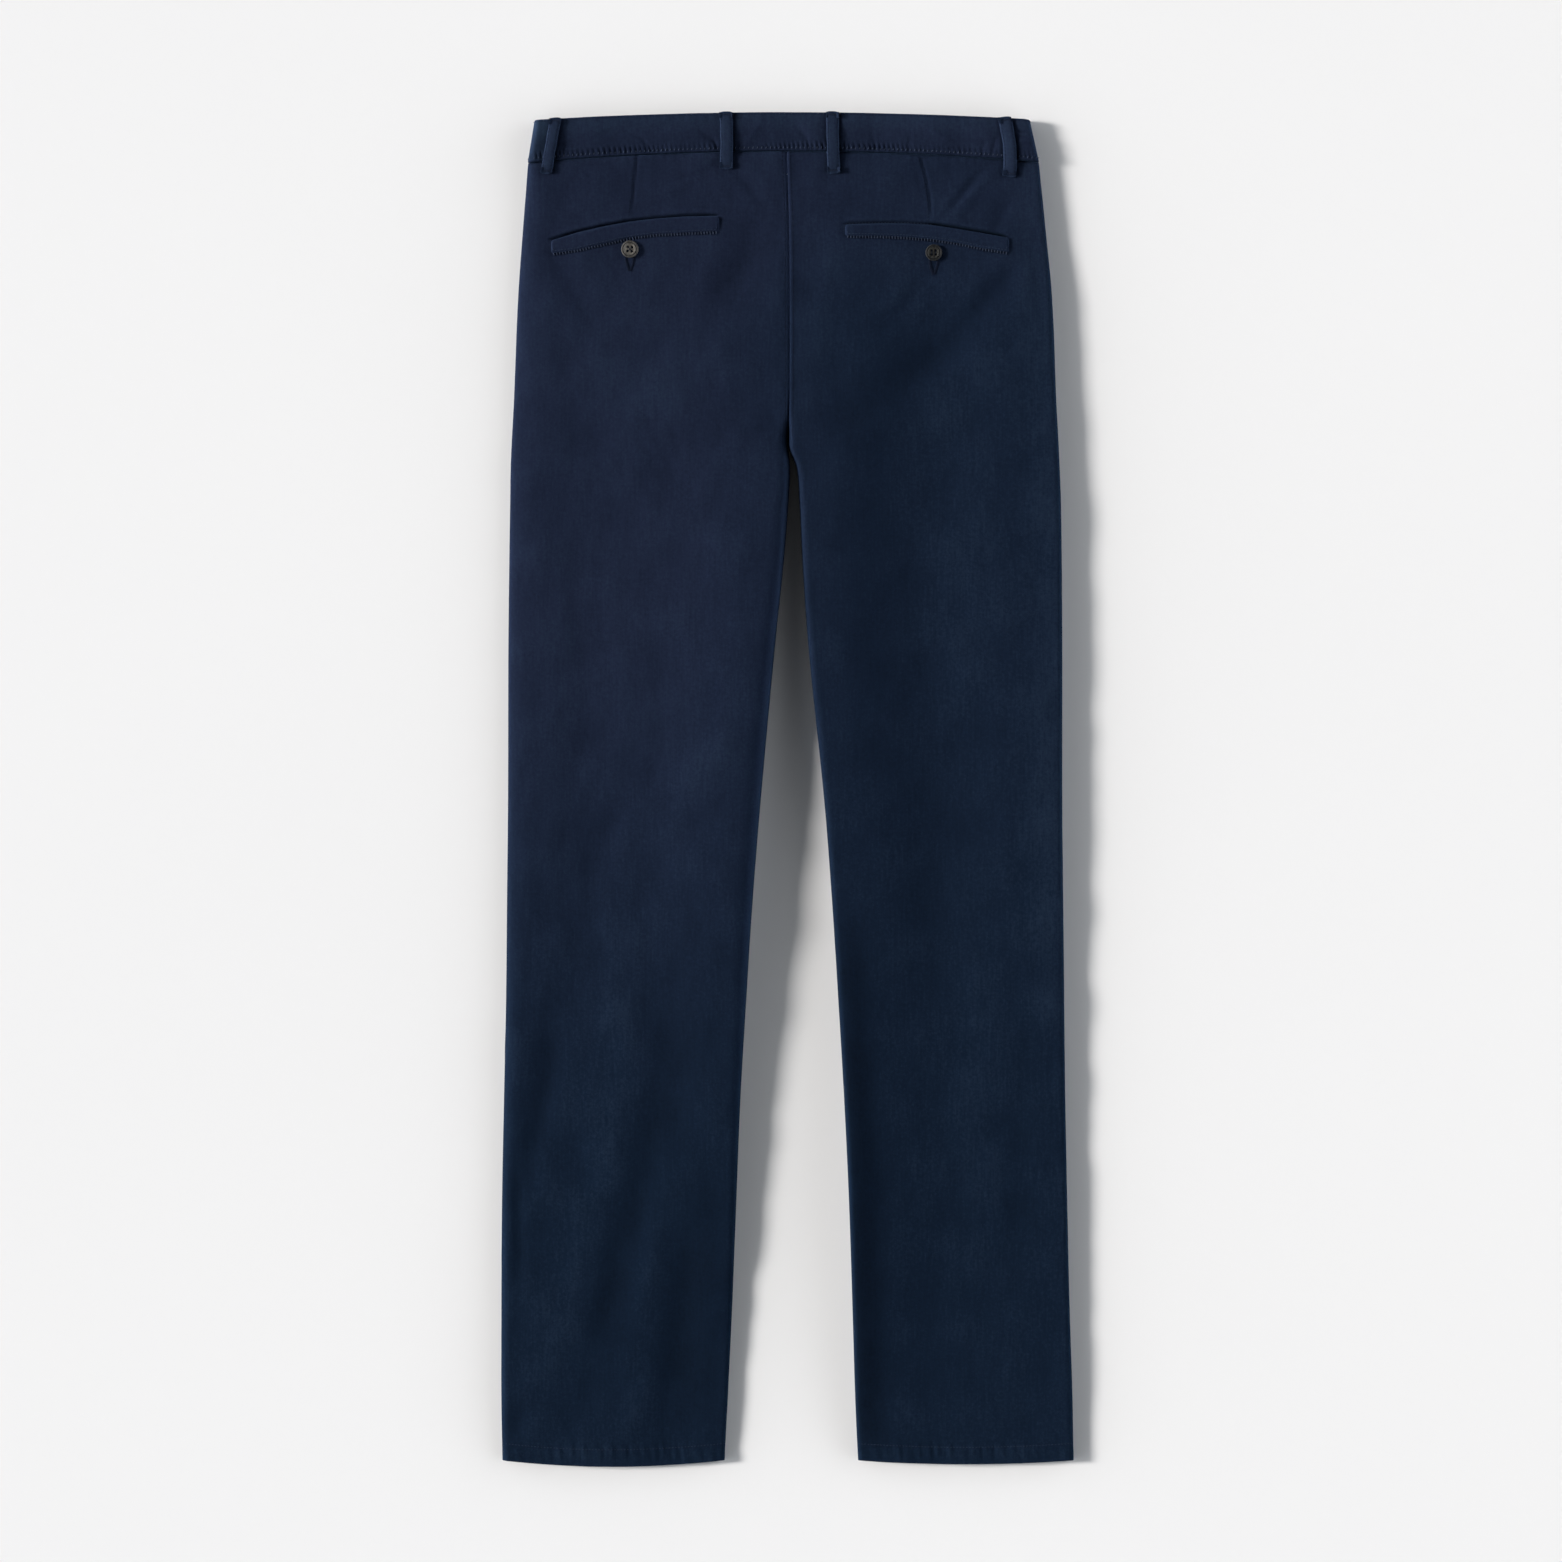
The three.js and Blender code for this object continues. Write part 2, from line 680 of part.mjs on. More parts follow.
// A belt loop on the back stands off the band between its two sewn ends.
function backLoopGrids({ topX, bottomX, width, below }, panel) {
  const topY = bandTopY(topX, 0) + loopAboveBand;
  const bottomY = waistSeamY(bottomX, 0) - below;
  const grids = { outerGrid: [], innerGrid: [] };
  for (let i = 0; i <= loopSteps; i += 1) {
    const share = i / loopSteps;
    const y = lerp(bottomY, topY, share);
    const middle = lerp(bottomX, topX, share);
    const lift = loopLift * Math.sin(Math.PI * share) ** 0.6;
    const outer = [];
    const inner = [];
    for (const { across, step } of loopColumns) {
      const x = middle + across * width / 2;
      const z = loopSeatHeight(panel, x, y) + seamGap + lift;
      inner.push(new THREE.Vector3(x, y, z));
      outer.push(new THREE.Vector3(x, y, z + loopThickness - step));
    }
    grids.outerGrid.push(outer);
    grids.innerGrid.push(inner);
  }
  return grids;
}

// A belt loop on the front is pressed flush into the band and the panel under it.
function flatBlock(x, width, bottomY, topY, height) {
  const block = new THREE.BoxGeometry(width, topY - bottomY, height);
  block.translate(x, (topY + bottomY) / 2, height / 2);
  return block;
}

function frontLoop(x) {
  const topY = bandTopY(x, 1) - frontLoopInset;
  const bottomY = waistSeamY(x, 1) - frontLoopBelow;
  const loop = flatBlock(x, loopWidth, bottomY, topY, frontLoopThickness);
  const recessDepth = frontLoopThickness + 2 * seamGap;
  const recess = flatBlock(x, loopWidth + 2 * seamGap, bottomY - seamGap, topY + seamGap, recessDepth);
  recess.translate(0, 0, -seamGap);
  return { loop, recess };
}

// A four-hole button with a raised rim, its axis along Z.
function buttonGeometry(diameter, height, turn) {
  const rim = diameter / 2;
  const profile = [
    [0, 0],
    [rim - 0.8, 0],
    [rim, 0.7],
    [rim, height - 0.8],
    [rim - 0.6, height],
    [rim - 1.3, height],
    [rim - 1.9, height - 0.6],
    [0, height - 0.8],
  ].map(([radius, z]) => new THREE.Vector2(radius, z));
  const body = new THREE.LatheGeometry(profile, buttonSegments);
  body.rotateX(Math.PI / 2);
  const holes = [];
  for (let k = 0; k < 4; k += 1) {
    const angle = degToRad(turn + 45 + 90 * k);
    const hole = new THREE.CylinderGeometry(buttonHoleRadius, buttonHoleRadius, 3 * height, 8);
    const reach = buttonHoleSpacing / Math.SQRT2;
    hole.rotateX(Math.PI / 2);
    hole.translate(reach * Math.cos(angle), reach * Math.sin(angle), 0);
    holes.push(hole);
  }
  return { body, holes };
}

function solidButton(diameter, height, turn) {
  const { body, holes } = buttonGeometry(diameter, height, turn);
  const bare = body.clone();
  bare.deleteAttribute('normal');
  bare.deleteAttribute('uv');
  return cutAway(facingOut(mergeVertices(bare, 1e-3)), holes);
}

// Assembly

const navy = { color: 0x1b2434, roughness: 0.92, metalness: 0 };
const bandNavy = { color: 0x1d2636, roughness: 0.9, metalness: 0 };
const horn = { color: 0x5b5650, roughness: 0.45, metalness: 0 };
const darkHorn = { color: 0x34322f, roughness: 0.45, metalness: 0 };

const trousers = new THREE.Group();

function addPiece(name, geometry, look) {
  const mesh = new THREE.Mesh(geometry, new THREE.MeshStandardMaterial(look));
  mesh.name = name;
  trousers.add(mesh);
  return mesh;
}

const backs = { left: backGrids('left'), right: backGrids('right') };
const loopsInFront = Object.entries(frontLoops).map(([name, { x }]) => ({ name, ...frontLoop(x) }));
const recesses = loopsInFront.map(({ recess }) => recess);

for (const side of ['left', 'right']) {
  addPiece(`back_${side}`, wallBetween(backs[side]), navy);
  addPiece(`front_${side}`, cutAway(wallBetween(frontGrids(side)), recesses), navy);
  addPiece(`welt_${side}`, wallBetween(weltGrids(side, backs[side])), navy);
  const { x, y, diameter, turn } = pocketButtons[side];
  const button = addPiece(`pocket_button_${side}`, solidButton(diameter, buttonHeight, turn),
    side === 'left' ? horn : darkHorn);
  button.position.set(x, y, panelHeightAt(backs[side].outerGrid, x, y) + 1.5 * seamGap);
}

addPiece('fly_placket', wallBetween(flyGrids()), navy);

const waistButtonX = bandMiddleX - waistButton.fromMiddle;
const waistButtonY = (waistSeamY(waistButtonX, 1) + bandTopY(waistButtonX, 1)) / 2;
const dimple = new THREE.CylinderGeometry(waistButton.diameter / 2 + seamGap,
  waistButton.diameter / 2 + seamGap, 2 * (waistButton.height + seamGap), buttonSegments);
dimple.rotateX(Math.PI / 2);
dimple.translate(waistButtonX, waistButtonY, 0);
addPiece('waistband', cutAway(wallBetween(bandGrids()), [...recesses, dimple]), bandNavy);
const fastener = addPiece('waist_button', solidButton(waistButton.diameter, waistButton.height, 0), horn);
fastener.rotation.x = Math.PI;
fastener.position.set(waistButtonX, waistButtonY, waistButton.height);

for (const [name, loop] of Object.entries(backLoops)) {
  const side = loop.topX < 0 ? 'left' : 'right';
  addPiece(name, wallBetween(backLoopGrids(loop, backs[side])), bandNavy);
}
for (const { name, loop } of loopsInFront) addPiece(name, loop, bandNavy);

export default trousers;
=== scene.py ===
# Navy chino trousers lying flat with the back up: cloth, folds, sewing, buttons and studio light.
# The tables and formulas below are in millimetres, in the frame's own axes, and every mesh is
# scaled to metres when it is made.
import math

import bpy
import numpy as np
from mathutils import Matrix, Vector
from mathutils.bvhtree import BVHTree


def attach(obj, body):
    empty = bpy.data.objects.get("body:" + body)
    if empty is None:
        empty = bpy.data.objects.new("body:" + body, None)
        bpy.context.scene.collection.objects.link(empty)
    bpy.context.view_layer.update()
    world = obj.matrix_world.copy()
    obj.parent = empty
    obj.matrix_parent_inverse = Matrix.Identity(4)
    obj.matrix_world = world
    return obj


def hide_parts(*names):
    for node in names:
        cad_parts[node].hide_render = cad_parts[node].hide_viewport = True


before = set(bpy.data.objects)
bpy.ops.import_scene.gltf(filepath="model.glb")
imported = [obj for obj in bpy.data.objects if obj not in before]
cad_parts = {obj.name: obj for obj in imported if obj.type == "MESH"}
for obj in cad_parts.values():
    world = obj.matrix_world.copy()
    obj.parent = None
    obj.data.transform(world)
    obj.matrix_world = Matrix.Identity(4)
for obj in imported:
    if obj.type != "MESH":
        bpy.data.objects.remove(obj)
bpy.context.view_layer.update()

MM = 0.001
SIDES = ("left", "right")
MIRROR = {"left": -1.0, "right": 1.0}


def table(columns, *rows):
    """A list with a dictionary for each row, its keys being the columns' names."""
    return [dict(zip(columns.split(), row)) for row in rows]


def named_table(columns, **rows):
    """The same with a name for each row."""
    return {name: dict(zip(columns.split(), row)) for name, row in rows.items()}


def add_object(name, data):
    obj = bpy.data.objects.new(name, data)
    bpy.context.scene.collection.objects.link(obj)
    return obj


# Cloth and seams
SEAM_GAP = 0.3
SHELL = 0.7
BAND_SHELL = 1.6
OUTER_LIP = 10.0
INNER_LIP = 9.0
FOLD_RADIUS = 3.0

# Levels along Y
SIDE_SEAM_TOP = 512.0
WAIST_EASE = 474.0
ROLL_START = 314.0
FORK = 280.0
TUCK_LENGTH = 14.0
LIP_EMERGE = 16.0
HEM_LINE = -536.5
HEM_EDGE = -550.5

# Waist curves: Y at the middle of the back, and how far each falls at the sides
BACK_SEAM_CROWN = 521.3
BACK_SEAM_FALL = 9.5
BAND_TOP_CROWN = 553.2
BAND_TOP_FALL = 6.7
FRONT_DROP = 18.0
WAIST_HALF_WIDTH = 210.0
BAND_END_HEIGHT = 9.8
BAND_MIDDLE_HEIGHT = 7.6
BAND_MIDDLE_X = -1.2
BAND_ENDS = {"left": (-212.8, -207.2), "right": (206.2, 198.4)}

SEAT_SEAM = table(
    "y x",
    (521, -1.2),
    (483, 0.4),
    (457, 1.2),
    (367, 1.6),
    (311, 1.4),
    (280, 0.7),
)

# Edges of each leg, as X. inner counts only below the fork.
LEG_EDGES = {
    "left": table(
        "y outer inner",
        (512, -212.6, 0.7),
        (458, -216.9, 0.7),
        (400, -221.0, 0.7),
        (318, -224.3, 0.7),
        (280, -226.3, 0.7),
        (262, -227.0, 2.4),
        (236, -227.4, 1.2),
        (187, -228.1, -2.6),
        (113, -228.9, -10.3),
        (-10, -229.2, -21.7),
        (-92, -230.0, -28.3),
        (-174, -230.8, -33.6),
        (-256, -232.5, -38.4),
        (-338, -234.1, -41.7),
        (-420, -234.6, -44.9),
        (-502, -234.6, -48.8),
        (-556, -233.6, -51.6),
    ),
    "right": table(
        "y outer inner",
        (512, 206.0, 0.7),
        (458, 211.4, 0.7),
        (400, 216.9, 0.7),
        (318, 220.2, 0.7),
        (280, 222.2, 0.7),
        (262, 223.0, 7.2),
        (236, 224.0, 9.4),
        (187, 224.7, 11.9),
        (113, 225.1, 17.2),
        (-10, 225.1, 29.9),
        (-92, 225.9, 36.3),
        (-174, 226.7, 41.5),
        (-256, 227.6, 46.3),
        (-338, 229.2, 50.2),
        (-420, 231.0, 52.9),
        (-502, 233.6, 55.4),
        (-556, 234.4, 57.9),
    ),
}
HEM_BOW = {"left": 5.2, "right": 3.2}

# Height of the upper cloth beside the outer fold, in the middle and beside the inner fold, and how
# far each fold takes to round over.
LEG_FORM = {
    "left": table(
        "y outer_z outer_roll middle_z inner_z inner_roll",
        (512, 8.2, 9, 7.0, 7.0, 4),
        (430, 8.8, 24, 8.8, 10.0, 5),
        (350, 9.4, 32, 11.0, 14.0, 6),
        (280, 9.6, 34, 13.0, 17.0, 12),
        (200, 9.6, 32, 14.0, 20.0, 15),
        (60, 9.4, 28, 14.4, 21.3, 18),
        (-92, 9.0, 20, 12.6, 19.8, 19),
        (-174, 8.8, 15, 11.8, 16.6, 15),
        (-256, 8.6, 12, 10.8, 13.4, 11),
        (-338, 8.2, 10, 10.0, 11.0, 8),
        (-420, 7.8, 8, 9.4, 7.8, 6),
        (-502, 7.4, 6, 8.0, 5.8, 5),
        (-556, 6.4, 6, 6.4, 5.4, 5),
    ),
    "right": table(
        "y outer_z outer_roll middle_z inner_z inner_roll",
        (512, 7.8, 4, 7.0, 7.0, 4),
        (430, 9.3, 4, 8.0, 10.0, 4),
        (350, 10.0, 4, 8.4, 14.0, 6),
        (280, 10.4, 4, 8.4, 17.0, 7),
        (200, 10.7, 4, 8.0, 16.0, 8),
        (60, 10.7, 4, 7.8, 14.6, 8),
        (-92, 10.1, 4, 7.6, 12.4, 7),
        (-174, 9.5, 4, 7.4, 11.0, 6),
        (-338, 8.4, 4, 7.2, 10.0, 4),
        (-420, 8.0, 4, 7.2, 9.4, 4),
        (-502, 7.0, 4, 7.4, 8.2, 4),
        (-556, 5.8, 4, 6.2, 6.4, 5),
    ),
}

# The inseam of the right leg stands up as a lip from the knee down
INSEAM_LIP = table(
    "y height",
    (0, 0.0),
    (-92, 0.3),
    (-200, 3.6),
    (-330, 5.6),
    (-430, 5.2),
    (-500, 2.4),
    (-556, 0.0),
)
INSEAM_LIP_WIDTH = 14.0

# How boxy a fold's shoulder is: 2 is a round one
OUTER_SHOULDER = {"left": 2.0, "right": 3.0}
INNER_SHOULDER = {"left": 3.2, "right": 4.0}

# Soft folds of the back: middle, direction in degrees from +X, half length, half width, height
BACK_FOLDS = {
    "left": table(
        "x y angle length width height",
        (-39, 431, 62, 36, 15, -1.5),
        (-58, 398, 70, 40, 13, -0.8),
        (-22, 499, -48, 15, 3.6, 0.45),
        (-31, 491, -52, 18, 3.4, -0.45),
        (-84, 497, 30, 22, 4.0, 0.5),
        (-70, 505, 22, 18, 3.0, -0.7),
        (-173, 404, -56, 40, 10, -0.7),
        (-150, 352, -30, 60, 24, 0.9),
        (-92, 330, 38, 70, 24, 0.7),
        (-60, 290, 52, 60, 18, -0.7),
        (-58, 32, 62, 50, 17, 1.0),
        (-149, -52, 75, 72, 12, -0.8),
        (-190, 80, 86, 120, 14, 0.6),
        (-140, -262, 82, 130, 24, 0.9),
        (-103, -256, 82, 130, 24, -1.8),
        (-146, -420, 76, 72, 15, -1.8),
        (-107, -362, 82, 72, 12, 0.9),
        (-90, -450, 81, 62, 14, -1.6),
        (-203, -262, 80, 80, 10, -1.5),
        (-221, -365, 91, 60, 5.5, -0.8),
        (-187, -449, 66, 40, 16, 1.2),
        (-219, -516, 58, 20, 9, -1.0),
        (-120, -500, 60, 34, 13, 0.6),
    ),
    "right": table(
        "x y angle length width height",
        (166, 404, 52, 42, 9, -1.2),
        (186, 388, 54, 44, 11, 0.8),
        (112, 350, 41, 44, 15, -1.4),
        (56, 309, 32, 38, 17, -1.5),
        (136, 312, 38, 56, 20, 0.9),
        (145, 488, 49, 22, 3.2, -0.8),
        (152, 485, 49, 22, 3.6, 0.6),
        (176, 470, 60, 18, 4.5, -0.5),
        (97, 396, 47, 15, 5, -0.7),
        (88, 403, 47, 15, 5, 0.4),
        (205, 408, 98, 36, 7, -0.8),
        (28, 392, 88, 60, 12, 0.6),
        (78, 120, 97, 150, 24, -0.9),
        (150, 150, 84, 90, 24, 0.9),
        (207, -10, 90, 120, 13, 0.7),
        (130, -30, 84, 100, 20, -0.7),
        (158, -250, 86, 110, 20, 0.6),
        (190, -330, 88, 110, 13, -0.6),
        (64, -505, 4, 9, 5, -1.0),
        (120, -440, 82, 70, 20, -0.6),
    ),
}

# Dents of the front, which rests on its outer face, so they only sink up into it
FRONT_FOLDS = {
    "left": table(
        "x y angle length width height",
        (-44, 318, 38, 60, 9, 0.9),
        (-84, 300, 22, 50, 8, 0.7),
        (-120, 400, -60, 46, 7, 0.6),
        (-110, 60, 82, 120, 12, 0.8),
        (-150, -150, 76, 90, 10, 0.7),
        (-120, -390, 95, 110, 12, 0.8),
    ),
    "right": table(
        "x y angle length width height",
        (48, 322, -36, 58, 9, 0.9),
        (92, 296, -20, 50, 8, 0.7),
        (126, 398, 58, 44, 7, 0.6),
        (120, 20, 97, 130, 12, 0.8),
        (160, -210, 88, 90, 10, 0.7),
        (120, -420, 84, 100, 12, 0.8),
    ),
}

# Creases of the waistband's back
BAND_FOLDS = table(
    "x y angle length width height",
    (-143, 537.5, 10, 12, 1.9, -0.45),
    (-126, 535.5, -30, 8, 1.9, -0.45),
    (-116.5, 528, -52, 7, 1.9, -0.5),
    (-66, 534, -35, 9, 2.1, -0.45),
    (-59, 528, -60, 7, 1.9, -0.5),
    (-98, 541, 6, 30, 3.4, -0.5),
    (-28, 536, 60, 12, 3.2, 0.6),
    (14, 533, -58, 11, 3.0, -0.6),
    (70.5, 527, -84, 9, 1.9, -0.45),
    (99.5, 527, 84, 8, 1.9, -0.4),
    (122, 536, -30, 16, 3.0, 0.4),
    (160, 523, 80, 6, 1.7, -0.4),
    (169, 525, 72, 8, 1.7, -0.4),
    (191, 537, -8, 8, 2.0, -0.5),
    (190, 528, 12, 12, 2.4, 0.6),
    (-197, 530, 75, 14, 2.6, -0.15),
)

# Darts of the seat: top and lower end
DARTS = {
    "left": {"top": (-122.9, 517.5), "end": (-127.6, 468.5)},
    "right": {"top": (109.2, 515.5), "end": (117.4, 464.5), "bow": 2.2},
}

WELTS = {
    "left": table(
        "x top bottom",
        (-193.2, 447.8, 437.4),
        (-171.8, 454.3, 440.2),
        (-150.5, 459.2, 445.3),
        (-130.0, 463.0, 449.8),
        (-108.7, 465.5, 452.8),
        (-82.4, 467.5, 454.2),
        (-56.4, 467.9, 455.1),
    ),
    "right": table(
        "x top bottom",
        (47.4, 460.8, 451.6),
        (76.7, 461.7, 451.6),
        (97.0, 461.7, 450.8),
        (118.5, 460.4, 449.0),
        (139.8, 457.2, 445.8),
        (160.3, 453.6, 441.4),
        (181.0, 449.9, 437.9),
    ),
}
# Width and depth of each pocket's mouth above its welt, and the stretch where it gapes
POCKET_MOUTHS = named_table(
    "width depth gape_from gape_to",
    left=(0.9, 1.9, -190.0, -60.0),
    right=(1.4, 4.2, 118.0, 179.0),
)

POCKET_BUTTONS = named_table(
    "x y diameter turn",
    left=(-128.9, 440.7, 14.2, -4.0),
    right=(119.7, 438.0, 13.6, 0.0),
)

BACK_LOOPS = named_table(
    "top_x bottom_x width below bow twist",
    left_side=(-189.7, -197.6, 9.6, 10.5, 0.0, 0.5),
    left_back=(-50.4, -50.2, 10.8, 14.4, 0.5, 0.3),
    right_back=(36.9, 38.1, 10.6, 18.3, -0.4, -0.4),
    right_side=(177.3, 181.6, 11.2, 14.3, 2.2, 1.3),
)
FRONT_LOOPS = {"left_front": -112.0, "right_front": 108.0}
LOOP_THICKNESS = 1.2
LOOP_LIFT = 1.9
LOOP_ABOVE = 0.8
FRONT_LOOP_BELOW = 10.0

# How far the front belt loops and the waist button are pressed into the cloth they lie on
LOOP_SEAT = 1.5
WAIST_BUTTON = {"from_middle": 16.0, "diameter": 17.0, "height": 2.0, "seat": 2.3}

FLY_WIDTH = 38.0
FLY_END = 330.0

# Curves and tables


def cubic(t, start, end, slope_in, slope_out):
    """Smooth curve between two values, with a slope at each."""
    return (
        start * (2 * t**3 - 3 * t**2 + 1)
        + slope_in * (t**3 - 2 * t**2 + t)
        + end * (3 * t**2 - 2 * t**3)
        + slope_out * (t**3 - t**2)
    )


def value_at(rows, column, y):
    """Value of a column at each y, on a smooth curve through rows that run downwards."""
    y = np.asarray(y, float)
    places = np.array([row["y"] for row in rows], float)[::-1]
    values = np.array([row[column] for row in rows], float)[::-1]
    slopes = np.empty_like(values)
    slopes[1:-1] = (values[2:] - values[:-2]) / (places[2:] - places[:-2])
    slopes[0] = (values[1] - values[0]) / (places[1] - places[0])
    slopes[-1] = (values[-1] - values[-2]) / (places[-1] - places[-2])
    at = np.clip(y, places[0], places[-1])
    i = np.clip(np.searchsorted(places, at, side="right") - 1, 0, len(places) - 2)
    span = places[i + 1] - places[i]
    t = (at - places[i]) / span
    return cubic(t, values[i], values[i + 1], slopes[i] * span, slopes[i + 1] * span)


def value_along(rows, column, x):
    """Value of a column at each x, in rows that run along X."""
    return np.interp(x, [row["x"] for row in rows], [row[column] for row in rows])


def ramp(value, start, end):
    t = np.clip((np.asarray(value, float) - start) / (end - start), 0, 1)
    return t * t * (3 - 2 * t)


def bell(distance, width):
    return np.exp(-((distance / width) ** 2))


def leg_edge(side, edge, y):
    return value_at(LEG_EDGES[side], edge, y)


def leg_across(side, x, y):
    """Place across a leg, from 1 at its outer edge to -1 at its inner one."""
    outer, inner = leg_edge(side, "outer", y), leg_edge(side, "inner", y)
    return (2 * x - outer - inner) / (outer - inner)


def waist_curve(crown, fall, x, front):
    """Level of an edge of the waistband, which falls towards the sides and drops at the front."""
    across = np.minimum((x / WAIST_HALF_WIDTH) ** 2, 1)
    return crown - fall * across - front * FRONT_DROP * (1 - across) ** 2


def waist_seam_y(x, front):
    return waist_curve(BACK_SEAM_CROWN, BACK_SEAM_FALL, x, front)


def band_top_y(x, front):
    return waist_curve(BAND_TOP_CROWN, BAND_TOP_FALL, x, front)


def band_level_y(x, front, share):
    """Level at a share of the waistband's width, counted from the waist seam."""
    seam = waist_seam_y(x, front)
    return seam + share * (band_top_y(x, front) - seam)


def eased_y(side, x, y, front):
    """Level of a point of a panel, whose ends follow the waist seam and the hem's bow."""
    at_waist = ramp(y, WAIST_EASE, SIDE_SEAM_TOP)
    at_hem = ramp(y, -470, HEM_EDGE)
    across = leg_across(side, x, y)
    bow = HEM_BOW[side] * (1 - np.minimum(across * across, 1))
    return y + at_waist * (waist_seam_y(x, front) - SEAM_GAP - SIDE_SEAM_TOP) - at_hem * bow


FOLD_WANDER = 0.16


def fold_rise(folds, x, y):
    rise = np.zeros(np.broadcast(x, y).shape)
    for fold in folds:
        angle = math.radians(fold["angle"])
        along = (x - fold["x"]) * math.cos(angle) + (y - fold["y"]) * math.sin(angle)
        across = (y - fold["y"]) * math.cos(angle) - (x - fold["x"]) * math.sin(angle)
        # a fold wanders a little along its length, as cloth does
        across = across - FOLD_WANDER * fold["width"] * np.sin(along / fold["length"] * 2.3 + fold["x"])
        rise += fold["height"] * bell(along, fold["length"]) * bell(across, fold["width"])
    return rise


def crumple(x, y, seed):
    """Faint unevenness of cotton that has been worn and washed, a sum of a few slow waves."""
    rise = np.zeros(np.broadcast(x, y).shape)
    for k in range(9):
        turn = 2.399 * k + seed
        pitch = 13.0 + 7.3 * k
        wave = x * math.cos(turn) + y * math.sin(turn)
        drift = 0.4 * pitch * np.sin((x * math.sin(turn) - y * math.cos(turn)) / (1.7 * pitch))
        rise += 0.0035 * pitch * np.sin(2 * math.pi * (wave + drift) / pitch + 1.3 * k)
    return rise


def distance_to_path(path, x, y):
    """Distance of each point from a line of points, and the share of the line's length there."""
    path = np.asarray(path, float)
    starts, ends = path[:-1], path[1:]
    lengths = np.hypot(*(ends - starts).T)
    before = np.concatenate([[0], np.cumsum(lengths)[:-1]])
    best = np.full(np.broadcast(x, y).shape, 1e9)
    share = np.zeros_like(best)
    for (sx, sy), (ex, ey), length, start in zip(starts, ends, lengths, before):
        t = np.clip(((x - sx) * (ex - sx) + (y - sy) * (ey - sy)) / length**2, 0, 1)
        away = np.hypot(x - sx - t * (ex - sx), y - sy - t * (ey - sy))
        nearer = away < best
        best = np.where(nearer, away, best)
        share = np.where(nearer, (start + t * length) / lengths.sum(), share)
    return best, share


# Paths of the sewing


def dart_path(side, points=9):
    dart = DARTS[side]
    (x0, y0), (x1, y1) = dart["top"], dart["end"]
    t = np.linspace(0, 1, points)
    bow = dart.get("bow", 0.0) * np.sin(math.pi * t)
    return np.column_stack([x0 + t * (x1 - x0) + bow, y0 + t * (y1 - y0)])


def welt_outline(side, outset, points=40):
    """Closed outline round a welt, with its corners rounded, outset from its edges."""
    rows = WELTS[side]
    x0, x1 = rows[0]["x"] - outset, rows[-1]["x"] + outset
    radius = 2.2 + outset
    xs = np.linspace(x0 + radius, x1 - radius, points)
    top = value_along(rows, "top", xs) + outset
    bottom = value_along(rows, "bottom", xs) - outset
    turn = np.linspace(0, math.pi / 2, 5)[1:-1]
    sin, cos = np.sin(turn), np.cos(turn)
    parts = [
        np.column_stack([xs, top]),
        np.column_stack([x1 - radius + radius * sin, top[-1] - radius * (1 - cos)]),
        np.array([[x1, top[-1] - radius], [x1, bottom[-1] + radius]]),
        np.column_stack([x1 - radius + radius * cos, bottom[-1] + radius * (1 - sin)]),
        np.column_stack([xs, bottom])[::-1],
        np.column_stack([x0 + radius - radius * sin, bottom[0] + radius * (1 - cos)]),
        np.array([[x0, bottom[0] + radius], [x0, top[0] - radius]]),
        np.column_stack([x0 + radius - radius * cos, top[0] - radius * (1 - sin)]),
    ]
    outline = np.vstack(parts)
    return np.vstack([outline, outline[:1]])


def seat_seam_x(y):
    return value_at(SEAT_SEAM, "x", y)


# Relief of the back panels, in millimetres out from the cloth's plain form


def pocket_relief(side, x, y):
    mouth, rows = POCKET_MOUTHS[side], WELTS[side]
    x0, x1 = rows[0]["x"], rows[-1]["x"]
    top = value_along(rows, "top", x)
    bottom = value_along(rows, "bottom", x)
    within = ramp(x, x0 - 1.5, x0 + 1.5) * (1 - ramp(x, x1 - 1.5, x1 + 1.5))
    gape = ramp(x, mouth["gape_from"] - 8, mouth["gape_from"] + 8)
    gape = gape * (1 - ramp(x, mouth["gape_to"] - 3, mouth["gape_to"] + 2))
    width = 0.8 + (mouth["width"] - 0.8) * gape
    depth = 1.1 + (mouth["depth"] - 1.1) * gape
    rise = -within * depth * bell(y - top - 0.9, width)
    # the bag's seam presses a soft edge round the welt
    rise += 0.35 * within * bell(y - top - 3.6, 2.0)
    away, _ = distance_to_path(welt_outline(side, 1.0, 16), x, y)
    rise -= 0.3 * bell(away, 1.2)
    inside = within * ramp(y, bottom - 1, bottom + 1) * (1 - ramp(y, top - 1, top + 1))
    # the four layers of the pocket lift the cloth below it
    bag = bell((x - (x0 + x1) / 2), 62.0) * bell(y - (top + bottom) / 2 + 28, 34.0)
    return rise + 0.25 * inside + 0.5 * bag


def dart_relief(side, x, y):
    away, share = distance_to_path(dart_path(side), x, y)
    fade = 1 - ramp(share, 0.8, 1.0)
    lean = 0.15 * bell(away - 2.4, 1.8)
    return fade * (lean - 0.6 * bell(away, 0.8))


